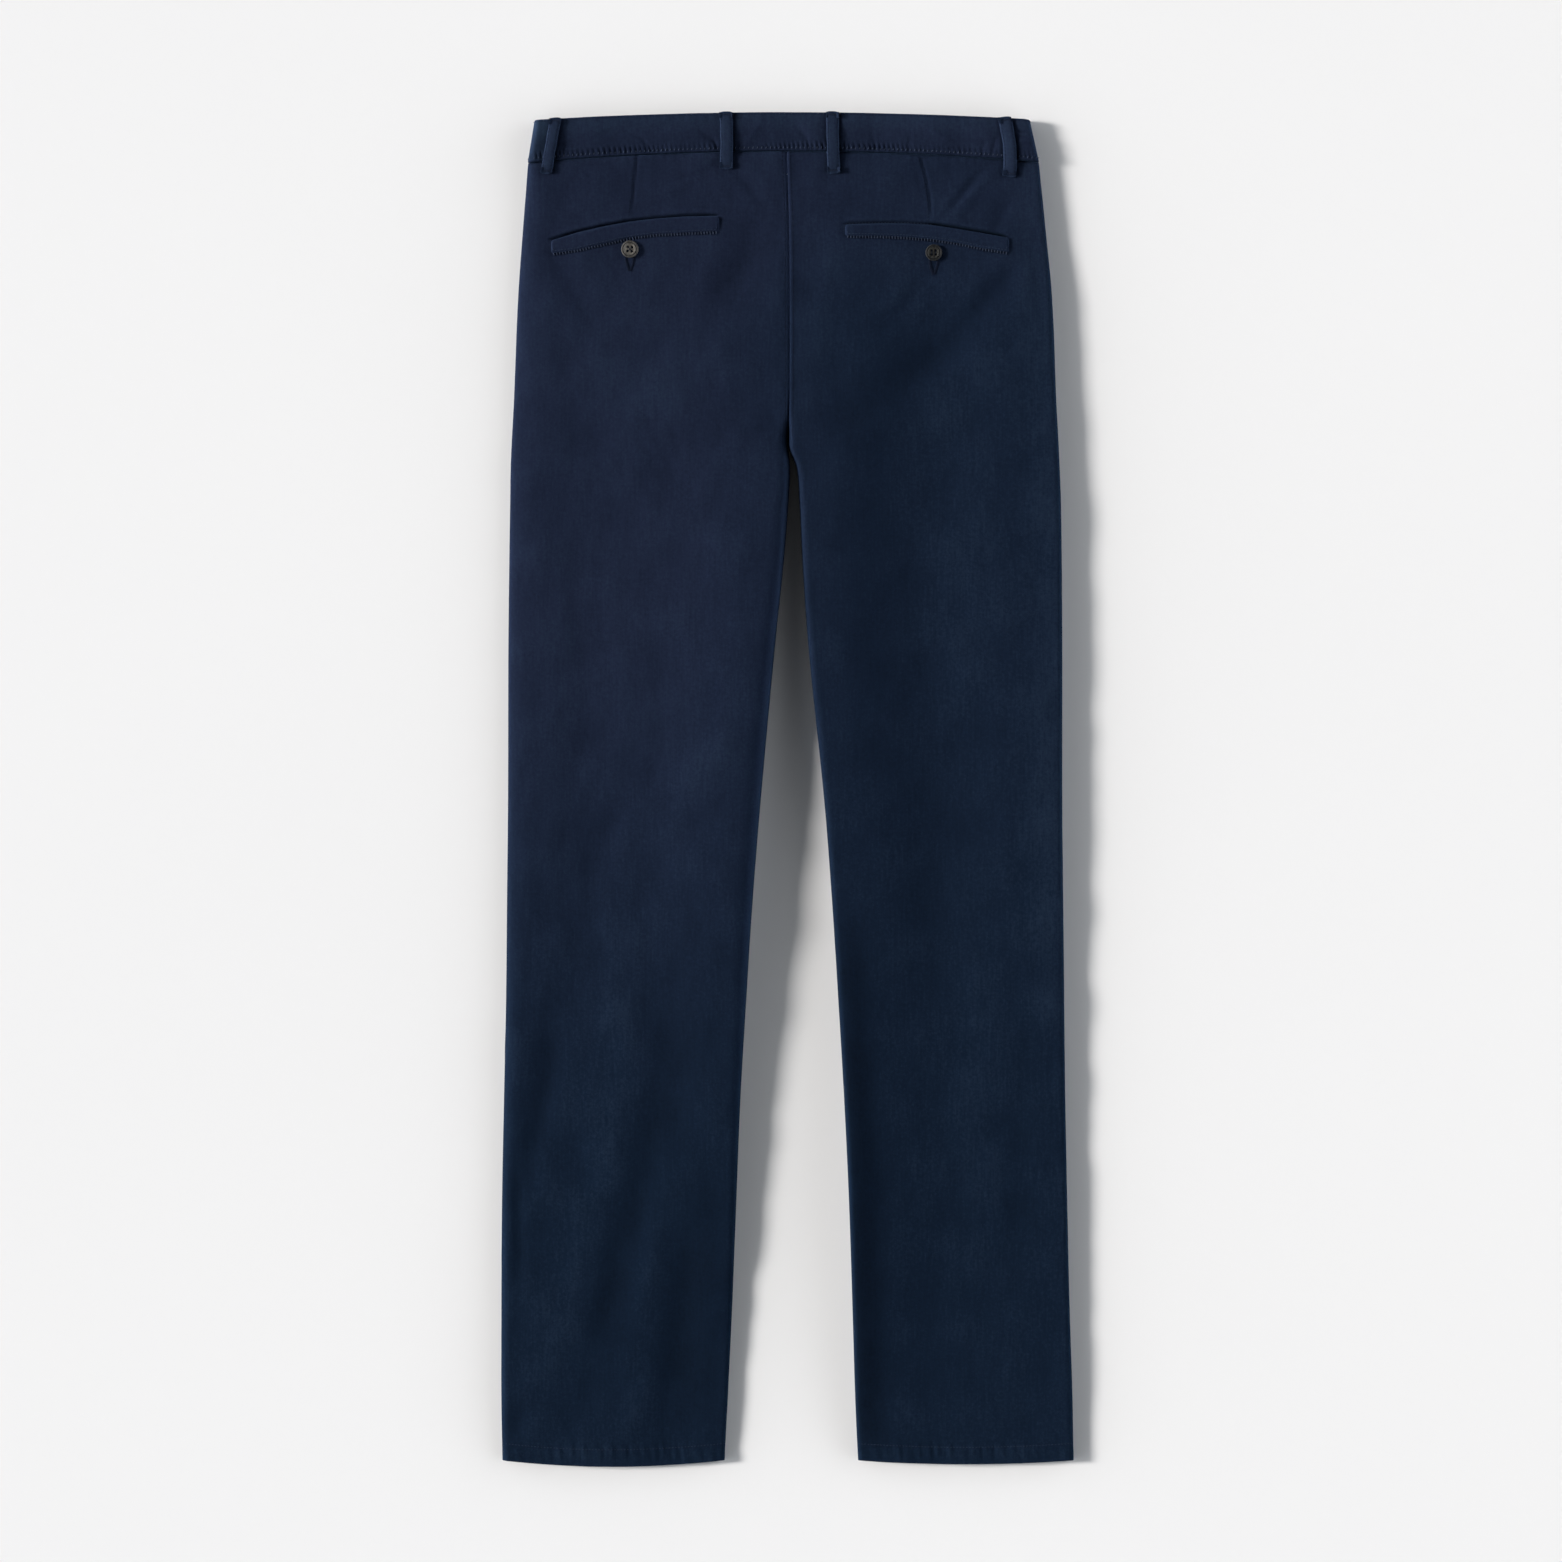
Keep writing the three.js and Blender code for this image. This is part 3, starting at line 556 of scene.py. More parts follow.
def seat_relief(side, x, y):
    """Beside the seat seam the pressed seam allowance stands up, with a groove at the stitching."""
    away = np.abs(x - seat_seam_x(y))
    window = ramp(y, FORK + 2, FORK + 26)
    if side == "left":
        ridge = 0.14 * bell(away - 2.0, 1.8) - 0.16 * bell(away - 4.2, 0.9)
    else:
        ridge = 0.1 * bell(away - 1.6, 1.6)
    pull = 0.14 * np.sin(2 * math.pi * y / 7.3 + np.sin(y / 19.0) * 2) * bell(away - 4.0, 3.0)
    return window * (ridge + pull)


def waist_relief(x, y):
    below = waist_seam_y(x, 0) - y
    pull = np.sin(2 * math.pi * x / 7.9 + 2.1 * np.sin(x / 23.0)) * bell(below - 2.5, 3.0)
    return 0.22 * bell(below - 3.2, 3.0) - 0.35 * bell(below, 1.0) + 0.12 * pull


def hem_relief(side, x, y):
    """The turned-up hem is a layer thicker, and the stitch line draws it into small waves."""
    across = leg_across(side, x, y)
    level = y + HEM_BOW[side] * np.minimum(across * across, 1)
    line = HEM_LINE - HEM_BOW[side] * 0.25
    turned = 1 - ramp(level, line - 0.5, line + 1.6)
    waves = np.sin(2 * math.pi * x / 9.4 + 1.8 * np.sin(x / 17.0) + 0.12 * (y - line))
    near = bell(level - line + 5.0, 6.5)
    small = np.sin(2 * math.pi * x / 5.3 + 2.2 * np.sin(x / 29.0)) * np.sin(x / 12.0 + 0.4)
    return 0.38 * turned - 0.3 * bell(level - line, 0.9) + (0.24 * waves + 0.16 * small) * near


def loop_foot_y(loop):
    return waist_seam_y(loop["bottom_x"], 0) - loop["below"]


def loop_press(side, x, y):
    """The dents that the stitched feet of the back loops make in the panel below."""
    rise = np.zeros(np.broadcast(x, y).shape)
    for name, loop in BACK_LOOPS.items():
        if name.startswith(side):
            foot = loop_foot_y(loop)
            rise -= 0.4 * bell(np.hypot((x - loop["bottom_x"]) * 0.7, y - foot), 6.0)
    return rise


def loop_middle_x(loop, t):
    """Middle of a back loop, from its foot, where t is 0, to its top, where t is 1."""
    lean = loop["top_x"] - loop["bottom_x"]
    return loop["bottom_x"] + t * lean + loop["bow"] * np.sin(math.pi * t)


def loop_shade(x, y):
    """The strips of cloth beside the back belt loops, which their overhang keeps dark."""
    shade = np.zeros(np.broadcast(x, y).shape)
    for name, loop in BACK_LOOPS.items():
        foot = loop_foot_y(loop)
        top = band_top_y(loop["top_x"], 0)
        t = (y - foot) / (top - foot)
        middle = loop_middle_x(loop, t)
        along = ramp(t, -0.03, 0.05)
        reach = loop["width"] / 2
        shade += along * bell(x - middle - reach - 0.9, 1.3)
        if name.startswith("right"):
            shade += 0.6 * along * bell(x - middle + reach + 0.6, 1.3)
    return shade


def back_painted_light_and_shade(side, x, y, turned):
    """Where the dye of a back panel is painted lighter or darker than its relief alone would make it:
    painted shade in the seams, in the mouth of the pocket, beside the loops, where the cloth turns
    under and along the inseams of the lower legs, and painted light along the right leg's outer edge
    above the knee."""
    dark = 4.0 * np.minimum(pocket_relief(side, x, y) + 0.4, 0)
    dark = dark - 3.0 * bell(waist_seam_y(x, 0) - y, 0.9)
    dark = dark - 2.2 * bell(x - seat_seam_x(y), 0.5) * ramp(y, FORK, FORK + 8)
    outer = np.abs(x - leg_edge(side, "outer", y))
    inner = np.abs(x - leg_edge(side, "inner", y))
    if side == "right":
        dark = dark - 3.6 * bell(inner - 12, 14) * (1 - ramp(y, -170, -60)) * ramp(y, -548, -520)
        dark = dark + 1.4 * bell(outer - 10, 16) * ramp(y, -240, -120)
    else:
        dark = dark - 2.0 * bell(inner - 26, 20) * (1 - ramp(y, -380, -300)) * ramp(y, -545, -505)
    return dark - 7.0 * loop_shade(x, y) - 2.0 * turned


def back_relief(side, x, y):
    seed = 0.7 if side == "left" else 3.9
    # the two panels lie level with each other along the seat seam
    free = 1 - 0.9 * bell(x - seat_seam_x(y), 5.0) * ramp(y, FORK, FORK + 10)
    rise = free * (1.15 * fold_rise(BACK_FOLDS[side], x, y) + 0.8 * crumple(x, y, seed))
    rise = rise + pocket_relief(side, x, y) + dart_relief(side, x, y)
    rise = rise + seat_relief(side, x, y) + waist_relief(x, y)
    return rise + hem_relief(side, x, y) + loop_press(side, x, y)


# Forms of the pieces. A grid is an array of rows and columns of points, in millimetres.


def inner_turn(y):
    """How far the inner edge of a back panel turns under at a level, and the lip beyond it."""
    flat, down, under = math.radians(5), math.radians(90), math.radians(180)
    if y >= FORK:
        t = float(ramp(y, FORK, ROLL_START))
        return down + t * (flat - down), 0.0
    tucked = FORK - TUCK_LENGTH
    t = max((y - tucked) / TUCK_LENGTH, 0)
    sweep = under + t * (down - under)
    return sweep, INNER_LIP * float(ramp(y, tucked, tucked - LIP_EMERGE))


def inner_edge(side, y):
    if y >= FORK:
        return float(seat_seam_x(y)) + MIRROR[side] * SEAM_GAP / 2
    return float(leg_edge(side, "inner", y)) + MIRROR[side] * SEAM_GAP / 2


def turned_edge(edge, direction, height, roll, shoulder, sweep, lip, total, count):
    """Points of a turned edge, from the upper cloth round to the end of its lip on the underside:
    a quarter of a soft-cornered box down, a small quarter round and the lip, evenly spaced."""
    fine = np.linspace(0, sweep, 140)
    upper = np.minimum(fine, math.pi / 2)
    lower = np.maximum(fine - math.pi / 2, 0)
    a = roll * np.sin(upper) ** (2 / shoulder) - FOLD_RADIUS * (1 - np.cos(lower))
    fall = np.clip(np.cos(upper), 0, 1) ** (2 / shoulder)
    z = FOLD_RADIUS + (height - FOLD_RADIUS) * fall - FOLD_RADIUS * np.sin(lower)
    reach = roll * math.sin(min(sweep, math.pi / 2)) ** (2 / shoulder)
    if lip > 0:
        a = np.append(a, a[-1] - lip)
        z = np.append(z, z[-1])
    length = np.hypot(np.diff(a), np.diff(z)).sum()
    run_in = max(total - length, 0.5)
    a = np.insert(a, 0, -run_in)
    z = np.insert(z, 0, height)
    distance = np.concatenate([[0], np.cumsum(np.hypot(np.diff(a), np.diff(z)))])
    even = np.linspace(0, distance[-1], count)
    a, z = np.interp(even, distance, a), np.interp(even, distance, z)
    return edge - direction * reach + direction * a, z


def across_top(u, outer_z, middle_z, inner_z):
    """Height across the upper cloth, level at both folds and on a slant in the middle."""
    lean = 0.8 * (inner_z - outer_z)
    t = np.where(u < 0.5, 2 * u, 2 * u - 1)
    start = np.where(u < 0.5, outer_z, middle_z)
    end = np.where(u < 0.5, middle_z, inner_z)
    slope_in = np.where(u < 0.5, 0.0, lean / 2)
    slope_out = np.where(u < 0.5, lean / 2, 0.0)
    return cubic(t, start, end, slope_in, slope_out)


OUTER_COUNT, TOP_COUNT, INNER_COUNT = 28, 80, 24
OUTER_TOTAL, INNER_TOTAL = 62.0, 48.0


def back_section(side, y):
    """Line of a back panel at a level, from the outseam on the underside over the top.
    Returns a, which counts away from the middle of the trousers, and z."""
    form = LEG_FORM[side]
    get = {key: float(value_at(form, key, y)) for key in form[0] if key != "y"}
    outer = MIRROR[side] * float(leg_edge(side, "outer", y))
    inner = MIRROR[side] * inner_edge(side, y)
    sweep, lip = inner_turn(y)
    stand = float(value_at(INSEAM_LIP, "height", y)) if side == "right" else 0.0
    outer_a, outer_z = turned_edge(
        outer, 1, get["outer_z"], get["outer_roll"], OUTER_SHOULDER[side], math.pi, OUTER_LIP,
        OUTER_TOTAL, OUTER_COUNT,
    )
    inner_a, inner_z = turned_edge(
        inner, -1, get["inner_z"] + stand, get["inner_roll"], INNER_SHOULDER[side], sweep, lip,
        INNER_TOTAL, INNER_COUNT,
    )
    beyond = bell(np.maximum(inner_a - inner - get["inner_roll"], 0), INSEAM_LIP_WIDTH)
    level = inner_z > get["inner_z"] + stand - 0.01
    inner_z = inner_z - np.where(level, stand * (1 - beyond), 0)
    top_a = np.linspace(outer_a[0], inner_a[0], TOP_COUNT + 2)[1:-1]
    u = (outer_a[0] - top_a) / (outer_a[0] - inner_a[0])
    top_z = across_top(u, get["outer_z"], get["middle_z"], get["inner_z"])
    top_z = top_z + stand * bell(top_a - inner - get["inner_roll"], INSEAM_LIP_WIDTH)
    places = np.concatenate([outer_a[::-1], top_a, inner_a])
    return places, np.concatenate([outer_z[::-1], top_z, inner_z])


def steps(start, end, size):
    count = max(int(round(abs(end - start) / size)), 1)
    return list(np.linspace(start, end, count + 1)[1:])


BACK_STEPS = table(
    "to size",
    (471, 1.7), (434, 0.85), (330, 2.3), (256, 1.8), (-524, 3.9), (HEM_EDGE, 1.6),
)


def back_levels():
    """Levels of a back panel's rows of points, closest where its relief is finest."""
    levels = [SIDE_SEAM_TOP]
    for row in BACK_STEPS:
        levels += steps(levels[-1], row["to"], row["size"])
    return levels


def grid_normals(grid):
    """Unit normals of a grid of points."""
    down = np.gradient(grid, axis=0)
    across = np.gradient(grid, axis=1)
    normals = np.cross(across, down)
    return normals / np.linalg.norm(normals, axis=2, keepdims=True)


def back_grid(side):
    """Outer face of a back panel with its relief."""
    rows = []
    for y in back_levels():
        a, z = back_section(side, y)
        da, dz = np.gradient(a), np.gradient(z)
        upward = np.clip(-da / np.hypot(da, dz), -1, 1)
        x = MIRROR[side] * a
        rows.append(np.column_stack([x, eased_y(side, x, y, (1 - upward) / 2), z]))
    grid = np.array(rows)
    normals = grid_normals(grid) * MIRROR[side]
    x, y = grid[..., 0], grid[..., 1]
    share = ramp(normals[..., 2], 0.1, 0.85)
    return grid + normals * (share * back_relief(side, x, y))[..., None]


def front_levels():
    levels = {SIDE_SEAM_TOP}
    levels.update(steps(SIDE_SEAM_TOP, 256, 3.2))
    levels.update(steps(256, -520, 6.5))
    levels.update(steps(-520, HEM_EDGE, 2.6))
    levels.update(fly_levels())
    blunt = min(fly_levels())
    levels.update([blunt - SEAM_GAP, blunt - 2 * SEAM_GAP])
    return sorted(levels, reverse=True)


def fly_levels():
    straight_end = FLY_END + FLY_WIDTH
    turn = np.linspace(0, 1.38, 14)
    levels = [SIDE_SEAM_TOP] + steps(SIDE_SEAM_TOP, straight_end, 3.2)
    return levels + [float(v) for v in straight_end - FLY_WIDTH * np.sin(turn[1:])]


def rounded_width(y, width):
    below = max(FLY_END + FLY_WIDTH - y, 0)
    return math.sqrt(width**2 - below**2) if below < width else 0.0


def front_inner_edge(side, y):
    if y >= FORK:
        middle = float(seat_seam_x(y)) + MIRROR[side] * SEAM_GAP / 2
        if side == "right" or y < min(fly_levels()) - 1.5 * SEAM_GAP:
            return middle
        return middle - rounded_width(y, FLY_WIDTH + SEAM_GAP)
    _, lip = inner_turn(y)
    inseam = inner_edge(side, y) + MIRROR[side] * (FOLD_RADIUS + lip + SEAM_GAP)
    away = min((FORK - y) / (TUCK_LENGTH / 4), 1)
    return inner_edge(side, y) + away * (inseam - inner_edge(side, y))


def flat_grid(side, levels, outer_edge, inner_edge_at, count, relief):
    """Outer face of a piece on the underside. Relief only sinks up into the cloth from z = 0."""
    rows = []
    for y in levels:
        x = np.linspace(outer_edge(y), inner_edge_at(y), count)
        level = eased_y(side, x, y, 1)
        rows.append(np.column_stack([x, level, np.maximum(relief(x, level), 0)]))
    return np.array(rows)


def front_relief(side, x, y):
    hem = 0.3 * bell(y - HEM_LINE + 2.0, 1.2)
    seam = 0.3 * bell(waist_seam_y(x, 1) - y - 1.0, 1.4)
    rise = fold_rise(FRONT_FOLDS[side], x, y) + 0.25 + crumple(x, y, 5.1) * 0.6 + hem + seam
    for name, front_x in FRONT_LOOPS.items():
        if name.startswith(side):
            loop_foot = waist_seam_y(x, 1) - FRONT_LOOP_BELOW
            foot = ramp(y, loop_foot - 4, loop_foot - 1)
            rise = np.maximum(rise, LOOP_SEAT * beside_loop(x, front_x) * foot)
    return rise


def front_grid(side):
    inset = FOLD_RADIUS + OUTER_LIP + SEAM_GAP

    def outer_edge(y):
        return float(leg_edge(side, "outer", y)) - MIRROR[side] * inset

    def inner(y):
        return front_inner_edge(side, y)

    return flat_grid(side, front_levels(), outer_edge, inner, 56, lambda x, y: front_relief(side, x, y))


def fly_stitch_distance(x, y):
    """Distance from the line of stitches that follows the placket's edge."""
    return distance_to_path(fly_stitch_path(), x, y)[0]


def fly_stitch_path(inset=4.0):
    width = FLY_WIDTH - inset
    centre = FLY_END + FLY_WIDTH
    turn = np.linspace(0, math.pi / 2 - 0.12, 14)
    middle = float(seat_seam_x(FLY_END))
    path = [[middle - width, float(waist_seam_y(-width, 1)) - 2.0]]
    for angle in turn:
        path.append([middle - width * math.cos(angle), centre - width * math.sin(angle)])
    return np.array(path)


def fly_grid():
    def middle(y):
        return float(seat_seam_x(y)) - SEAM_GAP / 2

    def relief(x, y):
        return 0.2 + 0.35 * bell(fly_stitch_distance(x, y), 1.1) + 0.5 * crumple(x, y, 2.2)

    return flat_grid(
        "left", fly_levels(), lambda y: middle(y) - rounded_width(y, FLY_WIDTH), middle, 20, relief
    )


def band_run(share):
    radius = BAND_END_HEIGHT / 2
    ends = (BAND_ENDS[side] for side in SIDES)
    left, right = (low + share * (high - low) for low, high in ends)
    return left + radius, right - radius, radius


def band_height_at(x, share):
    left, right, _ = band_run(share)
    across = np.minimum(np.abs(2 * x - left - right) / (right - left), 1)
    return BAND_MIDDLE_HEIGHT + (BAND_END_HEIGHT - BAND_MIDDLE_HEIGHT) * across**4


def band_line(share):
    """Line round the band, from the middle of the front under the right side, over the back and
    under the left side, and how far the cloth has turned at each point."""
    left, right, radius = band_run(share)
    front_x = np.linspace(BAND_MIDDLE_X + SEAM_GAP / 2, right, 110)[:-1]
    turn = np.linspace(0, math.pi, 15)[:-1]
    back_x = np.linspace(right, left, 460)[:-1]
    last_x = np.linspace(left, BAND_MIDDLE_X - SEAM_GAP / 2, 110)
    round_end = radius * np.sin(turn)
    x = np.concatenate([front_x, right + round_end, back_x, left - round_end, last_x])
    z = np.concatenate([
        np.zeros(len(front_x)),
        radius * (1 - np.cos(turn)),
        band_height_at(back_x, share),
        radius * (1 + np.cos(turn)),
        np.zeros(len(last_x)),
    ])
    angle = np.concatenate([
        np.zeros(len(front_x)),
        turn,
        np.full(len(back_x), math.pi),
        math.pi + turn,
        np.full(len(last_x), 2 * math.pi),
    ])
    return x, z, angle


def band_relief(x, y, share):
    """Relief of the band's back: creases, the folded top edge, and the puckers that the row of
    stitches draws above the waist seam."""
    above = share * (BAND_TOP_CROWN - BACK_SEAM_CROWN)
    uneven = 1 + 0.5 * np.sin(x / 31.0) + 0.3 * np.sin(x / 11.0 + 1.0)
    pucker = np.sin(2 * math.pi * x / 4.0 + 2.4 * np.sin(x / 16.0) + 0.2 * above)
    rise = 0.3 * uneven * pucker * bell(above - 4.6, 2.6)
    rise -= 0.42 * bell(above - 2.9, 0.8)
    rise += 0.22 * bell(above - 0.9, 1.2)
    edge = np.sin(2 * math.pi * x / 9.0 + 1.7 * np.sin(x / 21.0))
    rise += 0.1 * edge * bell(above - 29.5, 3.0)
    for loop in BACK_LOOPS.values():
        middle = loop["top_x"] + (1 - share) * (loop["bottom_x"] - loop["top_x"])
        rise -= 0.15 * bell(x - middle, 7.0)
    return rise + fold_rise(BAND_FOLDS, x, y) + crumple(x, y, 1.9)


BAND_SHARES = np.concatenate([[0.0, 0.012], np.linspace(0.04, 0.96, 26), [0.988, 1.0]])
BAND_ROUND = 0.8


def beside_loop(x, front_x):
    """How far a point lies within the strip that a front belt loop presses in."""
    return 1 - ramp(np.abs(x - front_x), 5.2, 7.6)


def band_front_hollow(x, share):
    """Hollows of the band's front, where the belt loops and the button sit flush."""
    hollow = 0.2 * bell(share - 0.09, 0.03) * np.ones(len(x))
    for front_x in FRONT_LOOPS.values():
        hollow = np.maximum(hollow, LOOP_SEAT * beside_loop(x, front_x))
    across = x - BAND_MIDDLE_X - WAIST_BUTTON["from_middle"]
    up = (share - 0.5) * (BAND_TOP_CROWN - BACK_SEAM_CROWN)
    away = np.hypot(across, up)
    reach = WAIST_BUTTON["diameter"] / 2
    return np.maximum(hollow, WAIST_BUTTON["seat"] * (1 - ramp(away, reach + 0.4, reach + 3.4)))


def band_grids():
    """Outer and inner face of the waistband, its upper and lower edges rounded over."""
    outer_rows, inner_rows = [], []
    for share in BAND_SHARES:
        x, z, angle = band_line(share)
        front = (1 + np.cos(angle)) / 2
        y = band_level_y(x, front, share)
        edge = min(min(share, 1 - share) / BAND_SHARES[2], 1)
        inset = BAND_ROUND * (1 - math.sqrt(1 - (1 - edge) ** 2))
        rise = ramp(-np.cos(angle), 0.2, 0.9) * band_relief(x, y, share)
        rise = rise - ramp(np.cos(angle), 0.5, 0.9) * band_front_hollow(x, share)
        outward = np.column_stack([np.sin(angle), np.zeros(len(angle)), -np.cos(angle)])
        base = np.column_stack([x, y, z]) + outward * rise[:, None]
        outer_rows.append(base - outward * inset)
        inner_rows.append(base - outward * BAND_SHELL)
    return np.array(outer_rows), np.array(inner_rows)


LOOP_ENDS = 5.0


def back_loop_grid(name, height_at):
    """Outer face of a belt loop: its end is folded under at the foot and at the top, and between
    them it stands a little off the waistband."""
    loop = BACK_LOOPS[name]
    foot = float(loop_foot_y(loop))
    top = float(band_top_y(loop["top_x"], 0)) + LOOP_ABOVE
    bend = LOOP_THICKNESS / 2 + 0.05
    half_turn = np.linspace(-math.pi / 2, math.pi / 2, 9)
    run = np.linspace(0, 1, 48)
    under = np.linspace(0, 1, 6)[:-1]
    y = np.concatenate([
        foot + bend + LOOP_ENDS * (1 - under),
        foot + bend - bend * np.cos(half_turn),
        (foot + bend + run * (top - foot - 2 * bend))[1:-1],
        top - bend + bend * np.cos(half_turn),
        top - bend - LOOP_ENDS * (1 - under[::-1]),
    ])
    step = np.concatenate([
        np.zeros(len(under)), (1 + np.sin(half_turn)) / 2, np.ones(len(run) - 2),
        (1 + np.sin(half_turn[::-1])) / 2, np.zeros(len(under)),
    ])
    t = np.clip((y - foot) / (top - foot), 0, 1)
    middle = loop_middle_x(loop, t)
    low = height_at(loop["bottom_x"], foot + 3.0)
    high = height_at(loop["top_x"], top - 4.0)
    z = low + t * (high - low) + 0.15 + 2 * bend * step + LOOP_LIFT * step * np.sin(math.pi * t) ** 1.3
    path = np.column_stack([y, z])
    along = np.gradient(path, axis=0)
    along /= np.linalg.norm(along, axis=1, keepdims=True)
    outward = np.column_stack([-along[:, 1], along[:, 0]])
    s = np.linspace(-1, 1, 17)
    drop = -0.95 * np.abs(s) ** 3 + loop["twist"] * s * 0.5
    shrink = 1 - 0.06 * step * np.sin(math.pi * t)
    tall = path[:, None, :] + outward[:, None, :] * drop[None, :, None]
    ripple = 0.12 * np.sin(y / 2.6)[:, None] * np.abs(s)[None, :] ** 3
    x = middle[:, None] + s[None, :] * (loop["width"] / 2 * shrink)[:, None] + ripple
    grid = np.stack([x, tall[..., 0], tall[..., 1]], axis=-1)
    inward = np.zeros_like(grid)
    inward[..., 1:] = -outward[:, None, :]
    return grid, grid + inward * LOOP_THICKNESS


def front_loop_grid(name):
    """A belt loop of the front, pressed flat into the cloth under the trousers."""
    middle = FRONT_LOOPS[name]
    foot = float(waist_seam_y(middle, 1)) - FRONT_LOOP_BELOW
    top = float(band_top_y(middle, 1)) + LOOP_ABOVE
    s = np.linspace(-1, 1, 13)
    y = np.linspace(foot, top, 44)
    ends = np.minimum(np.minimum(y - foot, top - y) / 2.0, 1)
    edge = 0.45 * np.abs(s)[None, :] ** 7 + 0.35 * (1 - ends)[:, None] ** 2
    z = 0.1 + edge + 0.1 * np.sin(y / 3.1)[:, None] * np.abs(s)[None, :]
    x = middle + np.broadcast_to(s * 5.0, z.shape)
    outer = np.stack([x, np.broadcast_to(y[:, None], z.shape), z], axis=-1)
    inner = outer.copy()
    inner[..., 2] = 0.1 + LOOP_THICKNESS - 0.4 * edge
    return outer, inner


WELT_RISE = 1.05
WELT_CORNER = 1.8


def welt_grid(side, height_at):
    """Outer and inner face of a pocket's welt: its upper edge is a fold, its lower one is stitched."""
    rows = WELTS[side]
    x0, x1 = rows[0]["x"], rows[-1]["x"]
    ends = np.array([0, 0.25, 0.6, 1.1, 1.8])
    x = np.concatenate([x0 + ends, np.linspace(x0 + 2.6, x1 - 2.6, 96), x1 - ends[::-1]])
    v = np.array([0, 0.02, 0.06, 0.12, 0.2, 0.28, 0.4, 0.5, 0.6, 0.7, 0.8, 0.88, 0.94, 0.98, 1.0])
    from_end = np.minimum(x - x0, x1 - x)
    into = np.maximum(WELT_CORNER - from_end, 0)
    corner = WELT_CORNER - np.sqrt(np.maximum(WELT_CORNER**2 - into**2, 0))
    top = value_along(rows, "top", x) - corner
    bottom = value_along(rows, "bottom", x) + corner
    y = bottom[None, :] + v[:, None] * (top - bottom)[None, :]
    base = np.array([height_at(px, (pt + pb) / 2) for px, pt, pb in zip(x, top, bottom)])
    base = np.convolve(np.pad(base, 3, mode="edge"), np.ones(7) / 7, mode="valid")
    lower = 1 - np.exp(-((v / 0.05) ** 2)) - 0.16 * bell(v - 0.16, 0.05)
    upper = np.sqrt(np.clip(1 - ((v - 0.84) / 0.17) ** 2, 0, 1))
    profile = np.where(v > 0.84, upper, lower) * (1 + 0.12 * ramp(v, 0.55, 0.85))
    end_fall = np.sqrt(np.clip(1 - (1 - np.minimum(from_end / 1.4, 1)) ** 2, 0, 1))
    waves = 0.09 * np.sin(x / 1.25 + 1.4 * np.sin(x / 13.0))[None, :] * bell(v - 0.18, 0.16)[:, None]
    rise = 0.12 + WELT_RISE * profile[:, None] * end_fall[None, :] + waves
    wide_x = np.broadcast_to(x, y.shape)
    outer = np.stack([wide_x, y, base[None, :] + rise], axis=-1)
    inner = np.stack([wide_x, y, np.broadcast_to(base - 0.1, y.shape)], axis=-1)
    return outer, inner


# Meshes


def facing_out(points, faces):
    """The faces, turned round if the closed mesh is inside out."""
    a, b, c, d = (points[faces[:, k]] for k in range(4))
    volume = (a * np.cross(b, c)).sum() + (a * np.cross(c, d)).sum()
    return faces if volume > 0 else faces[:, ::-1]


def plain_mesh(name, points, faces, uv, material, wear_light_and_shade=None):
    """An object from points in millimetres, with a UV map in metres along the cloth and, for the
    material, a value at each point that lightens its dye as wear and painted light and darkens it as
    painted shade."""
    mesh = bpy.data.meshes.new(name)
    mesh.from_pydata((points * MM).tolist(), [], faces.tolist())
    layer = mesh.uv_layers.new(name="along_cloth")
    layer.data.foreach_set("uv", (uv[faces.ravel()] * MM).astype(np.float32).ravel())
    if wear_light_and_shade is not None:
        heights = mesh.attributes.new("wear_light_and_shade", "FLOAT", "POINT")
        heights.data.foreach_set("value", wear_light_and_shade.astype(np.float32))
    mesh.polygons.foreach_set("use_smooth", np.ones(len(faces), bool))
    mesh.materials.append(material)
    mesh.update()
    return add_object(name, mesh)


def sheet_faces(rows, columns):
    index = np.arange(rows * columns).reshape(rows, columns)
    corners = [index[:-1, :-1], index[1:, :-1], index[1:, 1:], index[:-1, 1:]]
    quads = np.stack(corners, axis=-1).reshape(-1, 4)
    rim = np.concatenate([index[0, :], index[1:, -1], index[-1, -2::-1], index[-2:0:-1, 0]])
    walls = np.stack([rim, np.roll(rim, -1), np.roll(rim, -1) + index.size, rim + index.size], axis=-1)
    return quads, np.concatenate([quads, quads[:, ::-1] + index.size, walls])


def step_lengths(grid, axis):
    """Running length along one axis of a grid."""
    lengths = np.linalg.norm(np.diff(grid, axis=axis), axis=2)
    start = np.zeros_like(np.take(lengths, [0], axis=axis))
    return np.concatenate([start, np.cumsum(lengths, axis=axis)], axis=axis)


